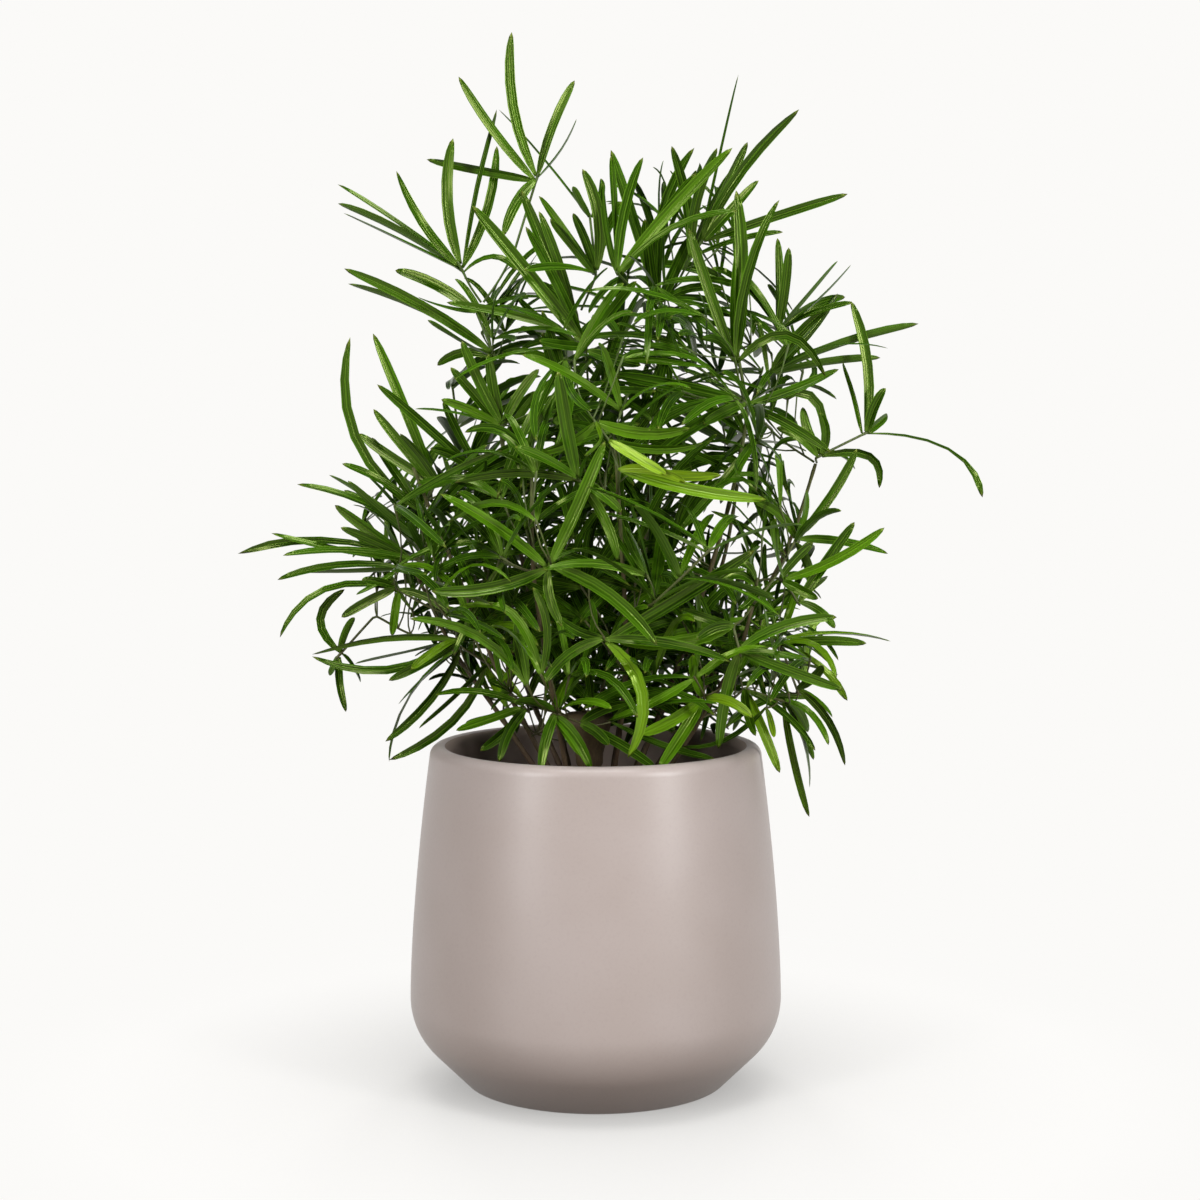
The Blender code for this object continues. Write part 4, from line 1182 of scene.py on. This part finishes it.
# ------------------------------------------------------------------- planter
@dataclass
class Planter:
    """A tapering planter with a low shoulder, a conical foot and a rounded lip."""

    height: float = 182 * MM
    radius: float = 100 * MM
    foot_radius: float = 70 * MM
    foot_round: float = 3 * MM
    chamfer: float = math.radians(45)
    shoulder: float = 38.4 * MM
    rim_radius: float = 89 * MM
    wall_power: float = 1.56
    wall: float = 11.2 * MM
    floor: float = 14 * MM
    around: int = 144

    def low(self) -> float:
        """The height at which the shoulder's arc turns into the wall."""
        cone_end = self.radius - self.shoulder + self.shoulder * math.sin(self.chamfer)
        return math.tan(self.chamfer) * (cone_end - self.foot_radius) + self.shoulder * math.cos(self.chamfer)

    def wall_at(self, z: float) -> float:
        """The outer radius at a height above the shoulder."""
        t = (z - self.low()) / (self.height - self.wall / 2 - self.low())
        return self.radius - (self.radius - self.rim_radius) * max(0, t) ** self.wall_power

    def profile(self) -> list[tuple[float, float]]:
        """Draw the section, up the outside, over the lip and down inside.

        Returns:
            Its points as radius and height.
        """
        def arc(centre: float, height: float, radius: float, start: float, end: float, steps: int) -> list:
            """Points on an arc, with its angles in degrees from the outward way."""
            turns = (math.radians(start + (end - start) * i / steps) for i in range(steps + 1))
            return [(centre + radius * math.cos(a), height + radius * math.sin(a)) for a in turns]
        low, lip = self.low(), self.height - self.wall / 2
        foot = [(0, 0), (self.foot_radius - self.foot_round, 0)]
        edge = self.foot_radius - self.foot_round * 0.4
        foot += arc(edge, self.foot_round, self.foot_round, -90, -45, 5)[1:]
        shoulder = arc(self.radius - self.shoulder, low, self.shoulder, -45, 0, 14)
        steps = [low + (lip - low) * i / 22 for i in range(1, 22)]
        outside = [(self.wall_at(z), z) for z in steps]
        rim = arc(self.rim_radius - self.wall / 2, lip, self.wall / 2, 0, 180, 14)
        inside = [(self.wall_at(z) - self.wall, z) for z in reversed(steps)]
        bowl = arc(self.radius - self.shoulder, low, self.shoulder - self.wall, 0, -55, 6)
        floor = [(bowl[-1][0] - 14 * MM, self.floor), (0, self.floor)]
        return foot + shoulder + outside + rim + inside + bowl + floor

    def build(self) -> None:
        """Spin the planter and glaze it."""
        bm = spun(self.profile(), self.around)
        for face in bm.faces:
            face.smooth = True
            at = face.calc_center_median()
            is_inner = face.normal.xy.dot(at.xy) < 0 and at.z < self.height - self.wall * 0.07
            is_floor = abs(face.normal.z) > 0.9 and self.floor - MM < at.z < self.low()
            face.material_index = int(is_inner or is_floor)
        glaze = SatinGlaze("satin_glaze_on_stoneware", 0.37, 1.5).make()
        inner = SatinGlaze("bare_stoneware_fired", 0.75, 1.5, body="#8f8077", cloud="#7b6c62").make()
        finished(bm, "fine_planter", "planter_glaze", (glaze, inner), "planter")


@dataclass
class Soil:
    """The potting mix: a rough, slightly crowned top with loose bark on it."""

    top: float = 153 * MM
    depth: float = 40 * MM
    crown: float = 3 * MM
    gap: float = 0.4 * MM  # between it and the planter
    rings: int = 26
    around: int = 96
    chips: int = 260
    seed: int = 5

    def build(self, planter: Planter) -> None:
        """Make the soil's top and the loose chips.

        Args:
            planter: The planter that holds it.
        """
        rng = random.Random(self.seed)
        reach = planter.wall_at(self.top) - planter.wall - self.gap
        low = planter.wall_at(max(self.top - self.depth, planter.low())) - planter.wall - self.gap
        profile = [(0, self.top - self.depth), (low, self.top - self.depth), (reach, self.top)]
        shares = [1 - i / self.rings for i in range(1, self.rings + 1)]
        profile += [(reach * share, self.top + self.crown * (1 - share**2)) for share in shares]
        bm = spun(profile, self.around)
        for vert in bm.verts:
            if vert.co.z > self.top - MM and vert.co.xy.length < reach - MM:
                rough = noise.noise(vert.co / (9 * MM)) * 1.4 + noise.noise(vert.co / (3.5 * MM)) * 0.9
                vert.co.z += rough * MM
        for _ in range(self.chips):
            far, turn = (reach - 5 * MM) * math.sqrt(rng.random()), rng.uniform(0, math.tau)
            z = self.top + self.crown * (1 - (far / reach) ** 2)
            size = Vector((rng.uniform(1.5, 5), rng.uniform(1, 3), rng.uniform(0.6, 1.5))) * MM
            chip = bmesh.ops.create_icosphere(bm, subdivisions=1, radius=1)["verts"]
            turned = (Matrix.Rotation(rng.uniform(0, math.tau), 4, UP)
                      @ Matrix.Rotation(rng.gauss(0, 0.35), 4, Vector((1, 0, 0))))
            for vert in chip:
                jagged = Vector(a * b * rng.uniform(0.7, 1.15) for a, b in zip(vert.co, size))
                vert.co = turned @ jagged + Vector((far * math.cos(turn), far * math.sin(turn), z + 0.5 * MM))
        mix = PottingMix("peat_and_bark_potting_mix", 0.95, 1.45).make()
        finished(bm, "fine_potting_soil", "potting_soil", (mix,), "potting_soil")


# -------------------------------------------------------------------- studio
@dataclass
class Studio:
    """A pale paper floor, soft lamps and the camera."""

    paper: str = "#fbfaf8"
    shaded: str = "#e6e5e2"  # the paper where the lamps light it
    bounce: str = "#716359"  # what the floor throws back on the planter's foot
    even: float = 0.76  # share of the floor's white that no single lamp makes, at the foot: glowing paper with a painted shadow from ambient occlusion
    eye: tuple[float, float, float] = (0.0023, -1.225, 0.355)
    tilt: float = -0.078  # the camera looks slightly down
    lens: float = 68.97

    def build(self) -> None:
        """Set up the floor, the world, the lamps and the camera."""
        scene = bpy.context.scene
        scene.view_settings.view_transform = "Standard"
        self.floor()
        self.world(scene)
        self.lamp("overhead_softbox", (0.0, -0.4, 2.1), (0, 0.0, 0.2), 0.9, 0.7, 25)
        self.lamp("front_softbox", (0.1, -1.85, 1.35), (0, 0, 0.25), 0.7, 0.6, 5)
        self.lamp("left_softbox", (-1.36, -1.46, 0.95), (0, 0, 0.2), 0.42, 1.3, 30)
        self.lamp("right_softbox", (1.50, -1.33, 0.95), (0, 0, 0.2), 0.42, 1.3, 38)
        self.lamp("rear_left_softbox", (-0.45, 1.9, 1.15), (0, 0, 0.2), 0.5, 0.7, 23, gloss=False)
        self.lamp("rear_right_softbox", (0.4, 1.9, 1.15), (0, 0, 0.2), 0.5, 0.7, 21, gloss=False)
        camera = placed("camera", bpy.data.cameras.new("camera"))
        camera.location = self.eye
        camera.rotation_euler = (math.pi / 2 + self.tilt, 0, 0)
        camera.data.lens, camera.data.sensor_width = self.lens, 36
        scene.camera = camera

    def floor(self) -> None:
        """Lay the paper floor, a glowing white with a painted shadow round the planter's foot, which turns
        into the backdrop's even white further out.
        """
        bm = bmesh.new()
        bmesh.ops.create_circle(bm, cap_ends=True, segments=96, radius=9)
        mesh = meshed(bm, "paper_floor")
        material = bpy.data.materials.new("matt_background_paper")
        material.use_nodes = True
        tree = material.node_tree
        tree.nodes.remove(tree.nodes["Principled BSDF"])
        far = add(tree, "VectorMath", {0: add(tree, "TexCoord").outputs["Object"]}, operation="LENGTH")
        fade = add(tree, "MapRange", {0: far, 1: 0.06, 2: 0.36, 3: self.even, 4: 1.0}, **SMOOTH)
        # painted shadow: ambient occlusion darkens the glowing paper round the planter's foot
        shade = add(tree, "AmbientOcclusion", {"Distance": 0.18}, samples=16)
        painted_contact_shadow = add(tree, "MapRange", {0: shade.outputs["AO"], 3: 0.42, 4: 1.0})
        light = add(tree, "LightPath")
        seen = add(tree, "Math", {0: light.outputs["Is Camera Ray"], 1: light.outputs["Is Glossy Ray"]},
                   operation="MAXIMUM")
        paper_with_painted_shadow = add(tree, "Emission", {"Color": linear(self.paper), "Strength": painted_contact_shadow})
        lit = add(tree, "BsdfDiffuse", {"Color": linear(self.shaded)})
        bounce = add(tree, "BsdfDiffuse", {"Color": linear(self.bounce)})
        white = add(tree, "MixShader", {0: fade, 1: lit, 2: paper_with_painted_shadow})
        mix = add(tree, "MixShader", {0: seen, 1: bounce, 2: white})
        feed(tree.nodes["Material Output"], {"Surface": mix})
        mesh.materials.append(material)
        floor = placed("paper_floor", mesh)

    def world(self, scene: bpy.types.Scene) -> None:
        """Make the world: a white backdrop under a dim ceiling to look at, and weaker as a light.

        Args:
            scene: The scene that it belongs to.
        """
        world = bpy.data.worlds.new("studio")
        scene.world = world
        world.use_nodes = True
        tree = world.node_tree
        tree.nodes.clear()
        light = add(tree, "LightPath")
        seen = add(tree, "Math", {0: light.outputs["Is Camera Ray"], 1: light.outputs["Is Glossy Ray"]},
                   operation="MAXIMUM")
        seen = add(tree, "Math", {0: seen, 1: light.outputs["Is Transmission Ray"]},
                   operation="MAXIMUM")
        height = add(tree, "SeparateXYZ", {0: add(tree, "TexCoord").outputs["Generated"]})
        wall = add(tree, "MapRange", {0: height.outputs[2], 1: 0.02, 2: 0.22, 3: 1.0, 4: 0.07}, **SMOOTH)
        sky = add(tree, "Math", {0: wall, 1: light.outputs["Is Camera Ray"]}, operation="MAXIMUM")
        fill = add(tree, "Background", {"Color": linear("#f8f5f0"), "Strength": 0.08})
        white = add(tree, "Background", {"Color": linear(self.paper), "Strength": sky})
        mix = add(tree, "MixShader", {0: seen, 1: fill, 2: white})
        output = add(tree, "OutputWorld", {"Surface": mix})
        output.is_active_output = True

    def lamp(self, name: str, place: Sequence[float], target: Sequence[float], width: float, height: float,
             power: float, gloss: bool = True) -> None:
        """Hang a soft box.

        Args:
            name: Its name.
            place: Where it hangs.
            target: What it looks at.
            width: Its width.
            height: Its height.
            power: Its power in watts.
            gloss: Whether it makes highlights.
        """
        lamp = bpy.data.lights.new(name, "AREA")
        lamp.shape, lamp.size, lamp.size_y, lamp.energy = "RECTANGLE", width, height, power
        holder = placed(name, lamp)
        holder.location, holder.visible_glossy = place, gloss
        holder.rotation_euler = (Vector(target) - Vector(place)).to_track_quat("-Z", "Y").to_euler()


def main() -> None:
    """Build the studio, the planter, its soil and the crown, in that order."""
    logging.basicConfig(level=logging.INFO, format="%(name)s: %(message)s")
    own = {*frame["nodes"].values(), *frame["bodies"].values()}
    for spare in [o for o in bpy.data.objects if o not in own]:
        bpy.data.objects.remove(spare)
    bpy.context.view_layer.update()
    Studio().build()
    planter = Planter()
    planter.build()
    Soil().build(planter)
    crown = Crown()
    crown.thicken()
    crown.build()
    bpy.context.view_layer.update()


if __name__ == "__main__":
    main()
